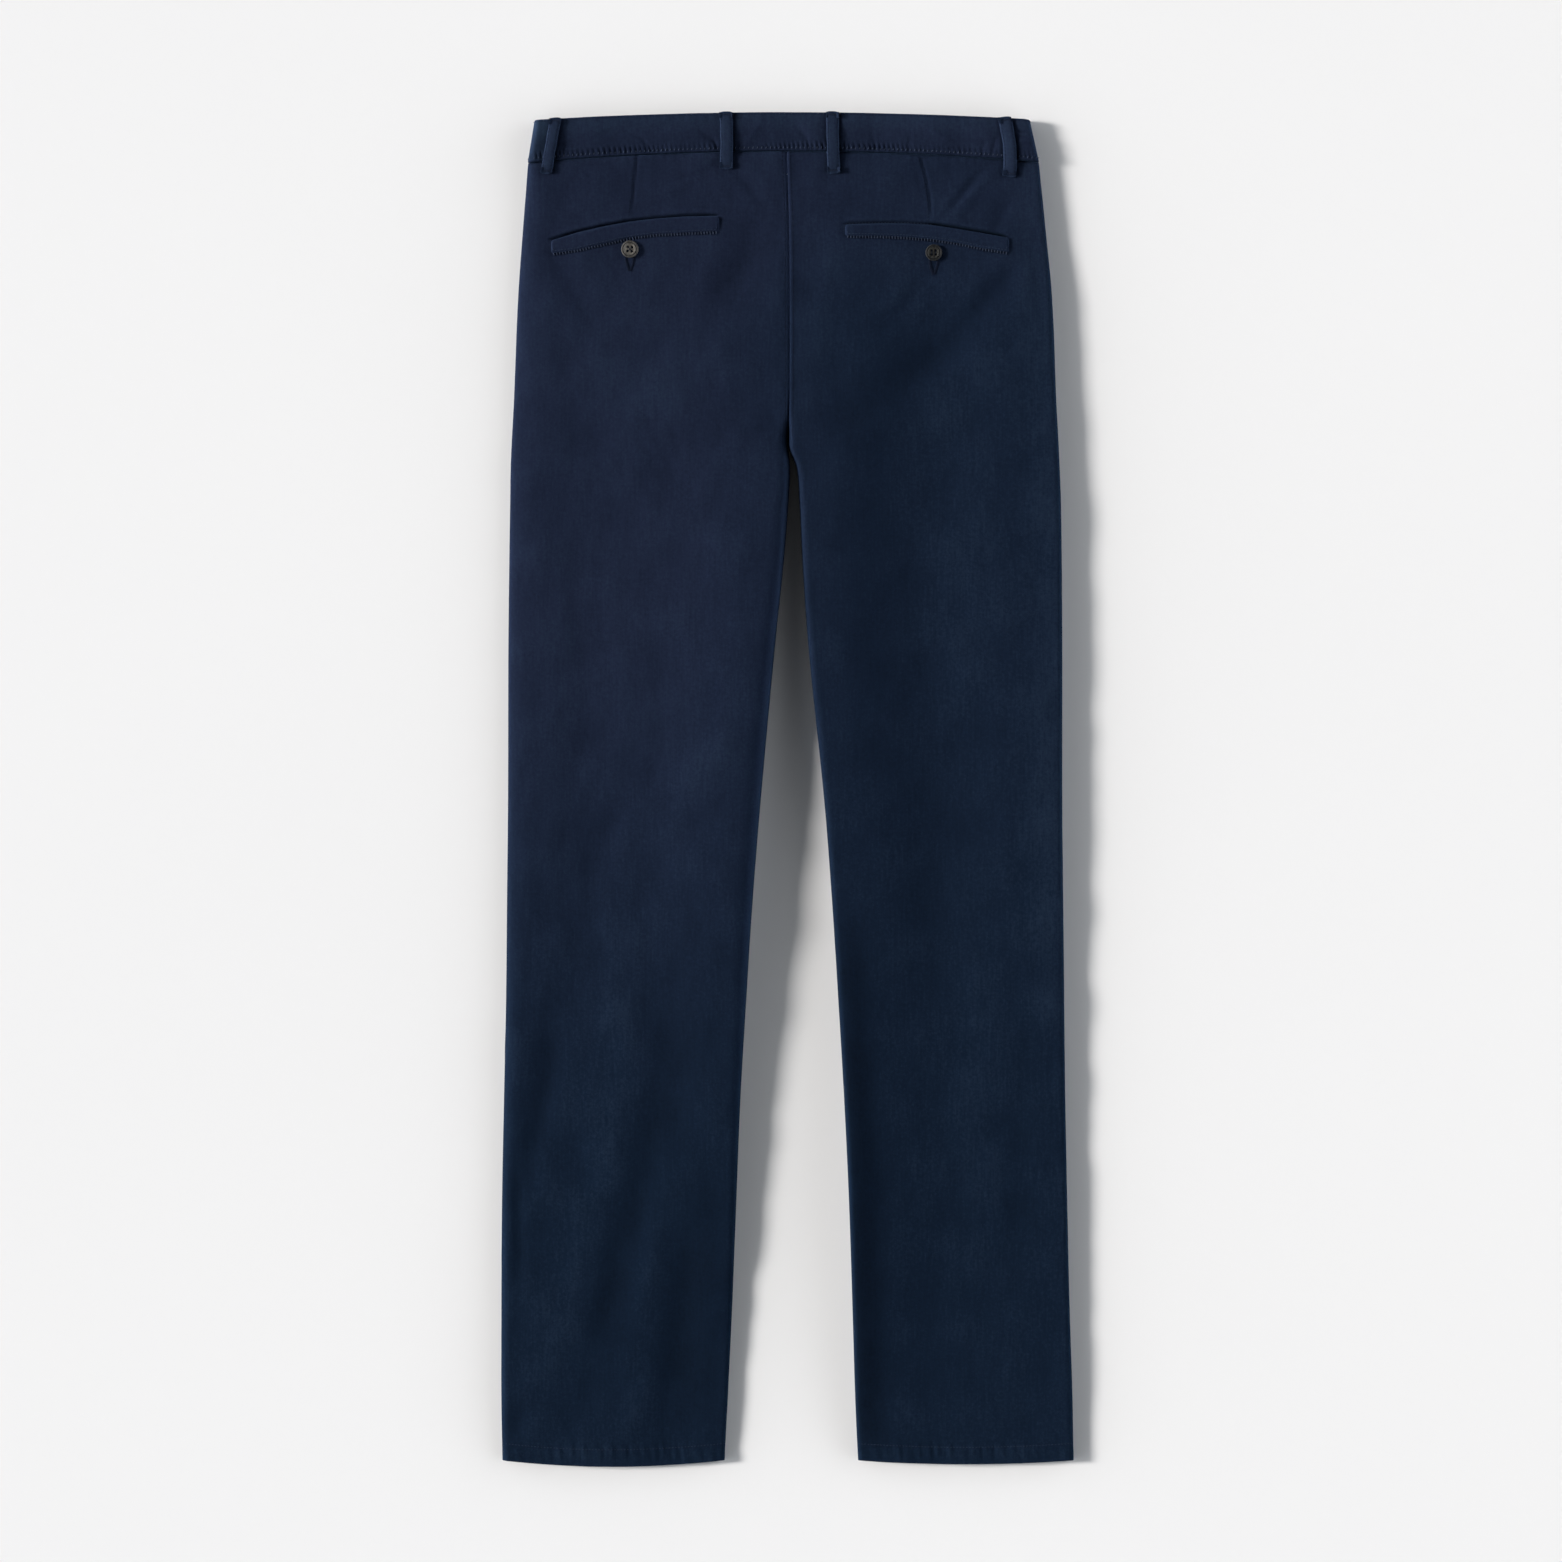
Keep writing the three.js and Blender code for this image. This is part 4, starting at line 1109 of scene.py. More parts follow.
def cloth_piece(name, outer, inner, material, nodes, wear_light_and_shade=None, turned_in=0.0):
    """A closed thin sheet between two grids of points, fixed to the frame; it prints the flat size of
    its outer face and what is turned in at its long edges."""
    _, faces = sheet_faces(*outer.shape[:2])
    points = np.concatenate([outer.reshape(-1, 3), inner.reshape(-1, 3)])
    across, along = step_lengths(outer, 1), step_lengths(outer, 0)
    centred = across - across[:, [across.shape[1] // 2]]
    uv = np.stack([centred.ravel(), along.ravel()], axis=-1)
    wear_light_and_shade = np.zeros(outer.shape[0] * outer.shape[1]) if wear_light_and_shade is None else wear_light_and_shade.ravel()
    obj = plain_mesh(
        name, points, facing_out(points, faces), np.concatenate([uv, uv + 0.3]), material,
        np.concatenate([wear_light_and_shade, wear_light_and_shade]),
    )
    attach(obj, "root")
    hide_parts(*nodes)
    width = (across[:, -1].max() + turned_in) * MM
    length = along[-1].max() * MM
    cells = np.cross(outer[1:, :-1] - outer[:-1, 1:], outer[1:, 1:] - outer[:-1, :-1])
    area = np.linalg.norm(cells, axis=2).sum() / 2 * MM * MM
    flat_size = f"{width * 1000:.0f} x {length * 1000:.0f} mm, {area:.4f} m2"
    print(f"{name}: {flat_size}, {len(faces) * 2} triangles")
    return obj


def surface_under(*grids):
    """A function that gives the height of the highest of these surfaces at a place."""
    trees = []
    for grid in grids:
        quads, _ = sheet_faces(*grid.shape[:2])
        trees.append(BVHTree.FromPolygons(grid.reshape(-1, 3).tolist(), quads.tolist()))

    def height(x, y, if_none=0.0):
        hits = [tree.ray_cast(Vector((x, y, 100.0)), Vector((0, 0, -1)))[0] for tree in trees]
        heights = [hit.z for hit in hits if hit is not None]
        return max(heights) if heights else if_none

    return height


# Node helpers


def set_inputs(tree, node, inputs):
    """Gives each named input its value, or a link where the value is another node's socket."""
    for label, value in inputs.items():
        if isinstance(value, bpy.types.NodeSocket):
            tree.links.new(value, node.inputs[label])
        else:
            node.inputs[label].default_value = value


def add_node(tree, kind, inputs=None, **settings):
    node = tree.nodes.new(kind)
    for key, value in settings.items():
        setattr(node, key, value)
    set_inputs(tree, node, inputs or {})
    return node


def math_node(tree, operation, first, second=None):
    node = add_node(tree, "ShaderNodeMath", operation=operation)
    for socket, value in zip(node.inputs, (first, second)):
        if isinstance(value, bpy.types.NodeSocket):
            tree.links.new(value, socket)
        elif value is not None:
            socket.default_value = value
    return node.outputs[0]


def scaled_from(tree, value, middle, scale):
    return math_node(tree, "MULTIPLY", math_node(tree, "SUBTRACT", value, middle), scale)


def times_plus(tree, value, scale, rest):
    return math_node(tree, "ADD", math_node(tree, "MULTIPLY", value, scale), rest)


def held_to_one(tree, value):
    return math_node(tree, "MINIMUM", math_node(tree, "MAXIMUM", value, 0.0), 1.0)


def colour_mix(tree, factor, first, second):
    """Output of a node that mixes two colours, each a socket or a value."""
    node = add_node(tree, "ShaderNodeMix", data_type="RGBA")
    sockets = {socket.identifier: socket for socket in node.inputs}
    named = ("Factor_Float", "A_Color", "B_Color")
    for identifier, value in zip(named, (factor, first, second)):
        if isinstance(value, bpy.types.NodeSocket):
            tree.links.new(value, sockets[identifier])
        else:
            sockets[identifier].default_value = value
    return next(socket for socket in node.outputs if socket.identifier == "Result_Color")


def new_group(name, kind, inputs, outputs):
    """A node group with named inputs, each with its value, and named outputs."""
    group = bpy.data.node_groups.new(name, kind)
    for label, socket_type, value in inputs:
        socket = group.interface.new_socket(label, in_out="INPUT", socket_type=socket_type)
        if value is not None:
            socket.default_value = value
    for label, socket_type in outputs:
        group.interface.new_socket(label, in_out="OUTPUT", socket_type=socket_type)
    return group, group.nodes.new("NodeGroupInput").outputs, group.nodes.new("NodeGroupOutput").inputs


def twill_weave_group():
    """Diagonal wales of a cotton twill, from a cloth's own UV map: their height and a faint shade."""
    group, given, out = new_group(
        "twill_weave",
        "ShaderNodeTree",
        [
            ("Vector", "NodeSocketVector", None),
            ("Wale pitch", "NodeSocketFloat", 0.0008),
            ("Wale slope", "NodeSocketFloat", 2.1),
            ("Slub", "NodeSocketFloat", 0.4),
        ],
        [("Height", "NodeSocketFloat"), ("Shade", "NodeSocketFloat")],
    )
    link = group.links.new
    apart = add_node(group, "ShaderNodeSeparateXYZ", {"Vector": given["Vector"]})
    slub_noise = add_node(
        group, "ShaderNodeTexNoise", {"Scale": 900.0, "Detail": 3.0, "Vector": given["Vector"]},
    )
    wobble = math_node(group, "MULTIPLY", slub_noise.outputs["Fac"], given["Slub"])
    rise = math_node(group, "DIVIDE", apart.outputs["Y"], given["Wale slope"])
    run = math_node(group, "SUBTRACT", apart.outputs["X"], rise)
    turns = math_node(group, "DIVIDE", run, given["Wale pitch"])
    turns = math_node(group, "ADD", turns, wobble)
    wave = math_node(group, "SINE", math_node(group, "MULTIPLY", turns, 2 * math.pi))
    weft = math_node(group, "DIVIDE", apart.outputs["Y"], given["Wale pitch"])
    beat = math_node(group, "SINE", math_node(group, "MULTIPLY", weft, 4 * math.pi))
    height = math_node(group, "ADD", wave, math_node(group, "MULTIPLY", beat, 0.3))
    link(height, out["Height"])
    shade = math_node(group, "MULTIPLY", height, 0.35)
    shade = math_node(group, "ADD", shade, math_node(group, "SUBTRACT", slub_noise.outputs["Fac"], 0.5))
    link(shade, out["Shade"])
    return group


def worn_dye_and_shade_group():
    """Colour of garment-dyed cotton: slow clouds of lighter and darker dye, fine flecks, a paler dye
    over the seat and towards the upper left, partly faded and partly painted light, and a given value
    that makes the cloth lighter where its relief stands up, as wear, and where light is painted, and
    darker where shade is painted, in its creases, seams and hollows."""
    group, given, out = new_group(
        "worn_dye_and_shade",
        "ShaderNodeTree",
        [
            ("Vector", "NodeSocketVector", None),
            ("Painted_light_shade_and_wear", "NodeSocketFloat", 0.0),
            ("Weave shade", "NodeSocketFloat", 0.0),
            ("Dye", "NodeSocketColor", (0.01, 0.015, 0.03, 1)),
            ("Worn", "NodeSocketColor", (0.03, 0.04, 0.06, 1)),
            ("Deep", "NodeSocketColor", (0.004, 0.006, 0.012, 1)),
            ("Faded", "NodeSocketColor", (0.01, 0.014, 0.03, 1)),
            ("Clouds", "NodeSocketFloat", 0.25),
            ("Wear", "NodeSocketFloat", 0.4),
        ],
        [("Color", "NodeSocketColor"), ("Roughness", "NodeSocketFloat"), ("Fuzz", "NodeSocketFloat")],
    )
    link = group.links.new
    clouds = add_node(
        group, "ShaderNodeTexNoise", {"Scale": 6.0, "Detail": 5.0, "Vector": given["Vector"]},
    )
    flecks = add_node(
        group, "ShaderNodeTexNoise", {
            "Scale": 420.0, "Detail": 4.0, "Roughness": 0.7, "Vector": given["Vector"],
        },
    )
    along = add_node(
        group, "ShaderNodeMapping", {"Scale": (1.0, 0.07, 1.0), "Vector": given["Vector"]},
    )
    streaks = add_node(
        group, "ShaderNodeTexNoise", {
            "Scale": 620.0, "Detail": 2.0, "Vector": along.outputs["Vector"],
        },
    )
    streak = scaled_from(group, streaks.outputs["Fac"], 0.5, 0.5)
    cloudy = scaled_from(group, clouds.outputs["Fac"], 0.5, 2.0)
    cloudy = math_node(group, "MULTIPLY", cloudy, given["Clouds"])
    fleck = scaled_from(group, flecks.outputs["Fac"], 0.5, 1.2)
    fleck = math_node(group, "ADD", fleck, streak)
    # the given value lightens the dye as wear and painted light and darkens it as painted shade
    worn = math_node(group, "MULTIPLY", given["Painted_light_shade_and_wear"], given["Wear"])
    tone = math_node(group, "ADD", math_node(group, "ADD", cloudy, fleck), worn)
    tone = math_node(group, "ADD", tone, math_node(group, "MULTIPLY", given["Weave shade"], 0.25))
    up = held_to_one(group, tone)
    fall = math_node(group, "MULTIPLY", tone, -1.0)
    down = held_to_one(group, fall)
    apart = add_node(group, "ShaderNodeSeparateXYZ", {"Vector": given["Vector"]})
    # paler, more violet dye over the upper legs and the seat, most towards the left: partly faded dye,
    # partly painted light from the left, where the lamp stands
    high = add_node(
        group, "ShaderNodeMapRange", {
            "From Min": -0.36, "From Max": 0.20, "Value": apart.outputs["Y"],
        },
        interpolation_type="SMOOTHSTEP",
    )
    leftward = add_node(
        group, "ShaderNodeMapRange", {
            "From Min": 0.08, "From Max": -0.10, "To Min": 0.22, "Value": apart.outputs["X"],
        },
        interpolation_type="SMOOTHSTEP",
    )
    patchy = times_plus(group, clouds.outputs["Fac"], 0.3, 0.85)
    seat = add_node(
        group, "ShaderNodeMapRange", {
            "From Min": 0.36, "From Max": 0.50, "To Max": 0.5, "Value": apart.outputs["Y"],
        },
        interpolation_type="SMOOTHSTEP",
    )
    faded_and_lit_share = math_node(group, "MULTIPLY", high.outputs["Result"], leftward.outputs["Result"])
    faded_and_lit_share = math_node(group, "ADD", faded_and_lit_share, seat.outputs["Result"])
    faded_and_lit_share = math_node(group, "MINIMUM", math_node(group, "MULTIPLY", faded_and_lit_share, patchy), 1.0)
    dyed = colour_mix(group, faded_and_lit_share, given["Dye"], given["Faded"])
    lighter = colour_mix(group, up, dyed, given["Worn"])
    link(colour_mix(group, down, lighter, given["Deep"]), out["Color"])
    link(times_plus(group, tone, 0.06, 0.9), out["Roughness"])
    link(flecks.outputs["Fac"], out["Fuzz"])
    return group


def horn_streak_group():
    """Polished horn: long pale and dark streaks and small flecks, and a slight unevenness."""
    group, given, out = new_group(
        "horn_streaks",
        "ShaderNodeTree",
        [
            ("Vector", "NodeSocketVector", None),
            ("Pale", "NodeSocketColor", (0.2, 0.18, 0.15, 1)),
            ("Dark", "NodeSocketColor", (0.05, 0.045, 0.04, 1)),
        ],
        [("Color", "NodeSocketColor"), ("Roughness", "NodeSocketFloat"), ("Height", "NodeSocketFloat")],
    )
    link = group.links.new
    stretch = add_node(
        group, "ShaderNodeMapping", {"Scale": (1.0, 0.28, 1.0), "Vector": given["Vector"]},
    )
    streaks = add_node(
        group, "ShaderNodeTexNoise", {
            "Scale": 520.0, "Detail": 6.0, "Distortion": 0.8, "Vector": stretch.outputs["Vector"],
        },
    )
    sharper = scaled_from(group, streaks.outputs["Fac"], 0.38, 3.6)
    factor = held_to_one(group, sharper)
    link(colour_mix(group, factor, given["Dark"], given["Pale"]), out["Color"])
    link(times_plus(group, factor, 0.12, 0.5), out["Roughness"])
    link(streaks.outputs["Fac"], out["Height"])
    return group


TWILL = twill_weave_group()
WORN_DYE_AND_SHADE = worn_dye_and_shade_group()
HORN_STREAKS = horn_streak_group()


# Materials


def plain_material(name):
    material = bpy.data.materials.new(name)
    material.use_nodes = True
    return material, material.node_tree, material.node_tree.nodes["Principled BSDF"]


def placed_group(tree, group, **values):
    node = add_node(tree, "ShaderNodeGroup", node_tree=group)
    for label, value in values.items():
        node.inputs[label.replace("_", " ")].default_value = value
    return node


def cotton_twill(name, dye, worn, deep, pitch, clouds, shade_and_wear_strength, relief):
    """Brushed cotton twill on a piece's own UV map."""
    material, tree, shader = plain_material(name)
    link = tree.links.new
    uv = add_node(tree, "ShaderNodeUVMap", uv_map="along_cloth")
    place = add_node(tree, "ShaderNodeTexCoord")
    wear_light_and_shade = add_node(tree, "ShaderNodeAttribute", attribute_name="wear_light_and_shade")
    twill = placed_group(tree, TWILL, Wale_pitch=pitch)
    # the lighter tone serves wear and painted light, the deep one painted shade
    worn_dye_and_shade = placed_group(
        tree, WORN_DYE_AND_SHADE, Dye=dye, Worn=worn, Deep=deep, Faded=NAVY_PALER, Clouds=clouds, Wear=shade_and_wear_strength
    )
    link(uv.outputs["UV"], twill.inputs["Vector"])
    link(place.outputs["Object"], worn_dye_and_shade.inputs["Vector"])
    link(wear_light_and_shade.outputs["Fac"], worn_dye_and_shade.inputs["Painted_light_shade_and_wear"])
    link(twill.outputs["Shade"], worn_dye_and_shade.inputs["Weave shade"])
    set_inputs(tree, shader, {
        "Base Color": worn_dye_and_shade.outputs["Color"],
        "Roughness": worn_dye_and_shade.outputs["Roughness"],
    })
    fuzz = add_node(
        tree, "ShaderNodeBump", {
            "Strength": 0.35, "Distance": 0.0003, "Height": worn_dye_and_shade.outputs["Fuzz"],
        },
    )
    wales = add_node(
        tree, "ShaderNodeBump", {
            "Strength": relief, "Distance": 0.00006, "Height": twill.outputs["Height"],
            "Normal": fuzz.outputs["Normal"],
        },
    )
    set_inputs(tree, shader, {
        "Normal": wales.outputs["Normal"],
        "Specular IOR Level": 0.02,
        "Sheen Weight": 0.1,
        "Sheen Roughness": 0.45,
        "Sheen Tint": (0.30, 0.55, 1.0, 1),
    })
    return material


def sewing_thread(name, pale, dark):
    """Spun thread: its strands twist round it, so it is a fine diagonal of two shades."""
    material, tree, shader = plain_material(name)
    place = add_node(tree, "ShaderNodeTexCoord")
    strands = add_node(
        tree, "ShaderNodeTexWave", {
            "Scale": 900.0, "Distortion": 2.0, "Vector": place.outputs["Object"],
        },
        wave_type="BANDS", bands_direction="DIAGONAL",
    )
    set_inputs(tree, shader, {
        "Base Color": colour_mix(tree, strands.outputs["Fac"], dark, pale),
        "Roughness": 0.8,
        "Specular IOR Level": 0.02,
    })
    return material


def polished_horn(name, pale, dark):
    material, tree, shader = plain_material(name)
    link = tree.links.new
    place = add_node(tree, "ShaderNodeTexCoord")
    horn = placed_group(tree, HORN_STREAKS, Pale=pale, Dark=dark)
    link(place.outputs["Object"], horn.inputs["Vector"])
    shade = add_node(tree, "ShaderNodeAttribute", attribute_name="shade")
    # near-black of the painted shade in the holes, the groove and at the rim
    hollow = (0.004, 0.005, 0.007, 1)
    set_inputs(tree, shader, {
        "Base Color": colour_mix(tree, shade.outputs["Fac"], horn.outputs["Color"], hollow),
        "Roughness": horn.outputs["Roughness"],
    })
    bump = add_node(
        tree, "ShaderNodeBump", {
            "Strength": 0.12, "Distance": 0.0001, "Height": horn.outputs["Height"],
        },
    )
    set_inputs(tree, shader, {
        "Normal": bump.outputs["Normal"],
        "Specular IOR Level": 0.12,
    })
    return material


def pale_paper(name):
    """The studio's floor."""
    material, tree, shader = plain_material(name)
    place = add_node(tree, "ShaderNodeTexCoord")
    grain = add_node(tree, "ShaderNodeTexNoise", {"Scale": 2.0, "Vector": place.outputs["Object"]})
    colour = colour_mix(tree, grain.outputs["Fac"], (0.80, 0.80, 0.80, 1), (0.82, 0.82, 0.82, 1))
    set_inputs(tree, shader, {
        "Base Color": colour,
        "Roughness": 0.9,
        "Specular IOR Level": 0.1,
    })
    return material


# The dye's lighter tone serves flecks, wear on ridges and painted light; its deep tone serves dark
# flecks and painted shade; the paler tone is the band's dye and that of the seat and the upper left,
# partly faded and partly painted light.
NAVY_DYE = (0.0040, 0.0098, 0.0222, 1)
NAVY_WORN_AND_LIT = (0.017, 0.030, 0.055, 1)
NAVY_DEEP = (0.0018, 0.0042, 0.0095, 1)
NAVY_PALER = (0.0088, 0.0130, 0.0295, 1)
LEG_COTTON = cotton_twill("navy_leg_twill", NAVY_DYE, NAVY_WORN_AND_LIT, NAVY_DEEP, 0.0008, 0.035, 0.14, 0.55)
BAND_COTTON = cotton_twill("navy_band_twill", NAVY_PALER, NAVY_WORN_AND_LIT, NAVY_DEEP, 0.0008, 0.08, 0.3, 0.55)
NAVY_THREAD = sewing_thread("navy_thread", (0.026, 0.036, 0.062, 1), (0.011, 0.016, 0.031, 1))
DEEP_THREAD = sewing_thread("deep_navy_thread", (0.0085, 0.0125, 0.026, 1), (0.0035, 0.0055, 0.012, 1))
PALE_THREAD = sewing_thread("pale_navy_thread", (0.042, 0.055, 0.088, 1), (0.020, 0.028, 0.049, 1))
LOOP_THREAD = sewing_thread("loop_thread", (0.019, 0.027, 0.052, 1), (0.009, 0.013, 0.027, 1))
BROWN_HORN = polished_horn("brown_horn", (0.165, 0.155, 0.14, 1), (0.06, 0.055, 0.048, 1))
DARK_HORN = polished_horn("dark_horn", (0.036, 0.036, 0.031, 1), (0.011, 0.011, 0.011, 1))


# Cloth pieces

back_grids = {side: back_grid(side) for side in SIDES}
for side in SIDES:
    grid = back_grids[side]
    normals = grid_normals(grid) * MIRROR[side]
    x, y = grid[..., 0], grid[..., 1]
    share = ramp(normals[..., 2], 0.1, 0.85)
    # the dye follows the relief, lighter on ridges as wear and darker in creases as painted shade, with
    # the painted light and shade of the seams, pocket mouths, loops and edges
    cloth_piece(
        f"cloth_back_{side}", grid, grid - normals * SHELL, LEG_COTTON, [f"back_{side}"],
        share * back_relief(side, x, y) + back_painted_light_and_shade(side, x, y, 1 - ramp(normals[..., 2], 0.15, 0.6)),
    )

front_grids = {side: front_grid(side) for side in SIDES}
for side in SIDES:
    grid = front_grids[side]
    # painted shade: the front is darker where its dents rise up into it
    cloth_piece(
        f"cloth_front_{side}", grid, grid + [0, 0, SHELL], LEG_COTTON, [f"front_{side}"],
        -grid[..., 2],
    )

placket = fly_grid()
cloth_piece(
    "cloth_fly_placket", placket, placket + [0, 0, SHELL], LEG_COTTON, ["fly_placket"],
)

band_outer, band_inner = band_grids()
band_x, band_y = band_outer[..., 0], band_outer[..., 1]
band_share = BAND_SHARES[:, None]
# The band's tone: lighter towards its top, painted shade along the waist seam at its foot and along its
# folded top edge, painted light on its left end and painted shadow beside the back loops.
band_light_and_shade = 1.1 * ramp(band_share, 0.35, 0.9) - 3.0 * bell(band_share / 0.03, 1.0)
on_back = ramp(band_outer[..., 2], 3.0, 6.0)
band_light_and_shade = band_light_and_shade + 1.8 * on_back * ramp(-band_x, 193, 201)
band_light_and_shade = band_light_and_shade - 3.0 * on_back * loop_shade(band_x, band_y) - 2.0 * ramp(band_share, 0.97, 1.0)
cloth_piece(
    "cloth_waistband", band_outer, band_inner, BAND_COTTON, ["waistband"],
    band_light_and_shade,
)


# Small cloth pieces

leg_height = {side: surface_under(back_grids[side]) for side in SIDES}
band_height = surface_under(band_outer)
back_height = surface_under(back_grids["left"], back_grids["right"], band_outer)

for name in BACK_LOOPS:
    outer, inner = back_loop_grid(name, back_height)
    # the back loops are given a lighter tone all over, as the band's upper part
    cloth_piece(f"loop_{name}", outer, inner, BAND_COTTON, [f"belt_loop_{name}"],
                np.ones(outer.shape[:2]), LOOP_THICKNESS)
for name in FRONT_LOOPS:
    outer, inner = front_loop_grid(name)
    cloth_piece(f"loop_{name}", outer, inner, BAND_COTTON, [f"belt_loop_{name}"],
                turned_in=LOOP_THICKNESS)

welt_grids = {side: welt_grid(side, leg_height[side]) for side in SIDES}
for side in SIDES:
    outer, inner = welt_grids[side]
    cloth_piece(
        f"cloth_welt_{side}", outer, inner, LEG_COTTON, [f"welt_{side}"],
    )
pocket_height = {side: surface_under(back_grids[side], welt_grids[side][0]) for side in SIDES}


# Buttons

# holes of a button, as shares of its diameter
HOLE_SPREAD = 0.12
HOLE_RADIUS = 0.08


def button_points(diameter, height, rings=34, turns=72):
    """Profile of a four-hole button, turned round its axis: a rounded rim, a dished middle and the
    holes, which the rings are fine enough to hold."""
    radius = diameter / 2
    rim = 0.16 * radius
    edge = np.linspace(0, 1.5, 8)[1:]
    flat = np.linspace(0, radius - rim, rings)
    r = np.concatenate([flat, radius - rim + rim * np.sin(edge)])
    dish = 0.62 * ramp(r, 0.72 * radius, 0.5 * radius)
    lip = np.concatenate([np.zeros(rings), rim * (1 - np.cos(edge))])
    ring = bell(r - 0.78 * radius, 0.07 * radius)
    groove = 0.26 * height * ring
    z = height - dish * height * 0.3 - groove - lip * height / (2 * rim)
    angle = np.linspace(0, 2 * math.pi, turns, endpoint=False)
    x = r[:, None] * np.cos(angle)[None, :]
    y = r[:, None] * np.sin(angle)[None, :]
    top = np.repeat(z[:, None], turns, axis=1)
    # painted shade: darker in the middle, in the holes, in the groove and towards and on the rim
    shade = 0.45 * bell(r, 0.36 * radius) + 0.35 * ramp(r, 0.55 * radius, 0.68 * radius) + 0.4 * ring
    shade = shade + 0.3 * ramp(r, 0.8 * radius, 0.95 * radius)
    shade = np.repeat(np.minimum(shade, 1)[:, None], turns, axis=1)
    hole, spread = HOLE_RADIUS * diameter, HOLE_SPREAD * diameter
    for hx in (-spread, spread):
        for hy in (-spread, spread):
            inside = 1 - ramp(np.hypot(x - hx, y - hy), hole * 0.75, hole * 1.05)
            top = top - height * 0.6 * inside
            shade = np.maximum(shade, inside)
    around = np.stack([x[1:], y[1:], top[1:]], axis=-1).reshape(-1, 3)
    points = [[0.0, 0.0, float(top[0, 0])]] + around.tolist()
    base = len(points)
    points += np.column_stack([0.9 * x[-1], 0.9 * y[-1], np.zeros(turns)]).tolist()
    points.append([0.0, 0.0, 0.0])
    faces = []
    for k in range(turns):
        following = (k + 1) % turns
        faces.append([0, 1 + k, 1 + following])
        for ring in range(len(r) - 2):
            start = 1 + ring * turns
            faces.append([start + k, start + turns + k, start + turns + following, start + following])
        last = 1 + (len(r) - 2) * turns
        faces.append([last + k, base + k, base + following, last + following])
        faces.append([base + k, base + turns, base + following])
    shades = np.concatenate([[0.0], shade[1:].ravel(), np.zeros(turns + 1)])
    return np.array(points), faces, shades


def button(name, place, turn, diameter, height, material, node, faces_down=False):
    points, faces, shades = button_points(diameter, height)
    cos, sin = math.cos(math.radians(turn)), math.sin(math.radians(turn))
    turned = points.copy()
    turned[:, 0] = points[:, 0] * cos - points[:, 1] * sin
    turned[:, 1] = points[:, 0] * sin + points[:, 1] * cos
    if faces_down:
        turned[:, 1:] *= -1
    turned += np.array(place)
    mesh = bpy.data.meshes.new(name)
    mesh.from_pydata((turned * MM).tolist(), [], faces)
    marks = mesh.attributes.new("shade", "FLOAT", "POINT")
    marks.data.foreach_set("value", shades.astype(np.float32))
    mesh.polygons.foreach_set("use_smooth", np.ones(len(faces), bool))
    mesh.materials.append(material)
    obj = add_object(name, mesh)
    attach(obj, "root")
    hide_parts(node)
    return obj


BUTTON_HEIGHT = 2.0
button_finish = {"left": (BROWN_HORN, "horn"), "right": (DARK_HORN, "dark_horn")}
button_places = {}
for side in SIDES:
    spec = POCKET_BUTTONS[side]
    reach = spec["diameter"] * 0.45
    around = [(spec["x"] + reach * math.cos(a), spec["y"] + reach * math.sin(a)) for a in range(7)]
    seat = max(pocket_height[side](px, py) for px, py in around) + 0.1
    button_places[side] = (spec["x"], spec["y"], seat)
    material, slot = button_finish[side]
    button(
        f"button_pocket_{side}", button_places[side], spec["turn"], spec["diameter"], BUTTON_HEIGHT,
        material, f"pocket_button_{side}",
    )
waist_button_x = BAND_MIDDLE_X + WAIST_BUTTON["from_middle"]
waist_button_y = float(waist_seam_y(waist_button_x, 1) + band_top_y(waist_button_x, 1)) / 2
waist_button_place = (waist_button_x, waist_button_y, WAIST_BUTTON["height"] + 0.05)
button(
    "button_waist", waist_button_place, 0.0, WAIST_BUTTON["diameter"], WAIST_BUTTON["height"],
    BROWN_HORN, "waist_button", faces_down=True,
)


# Stitches


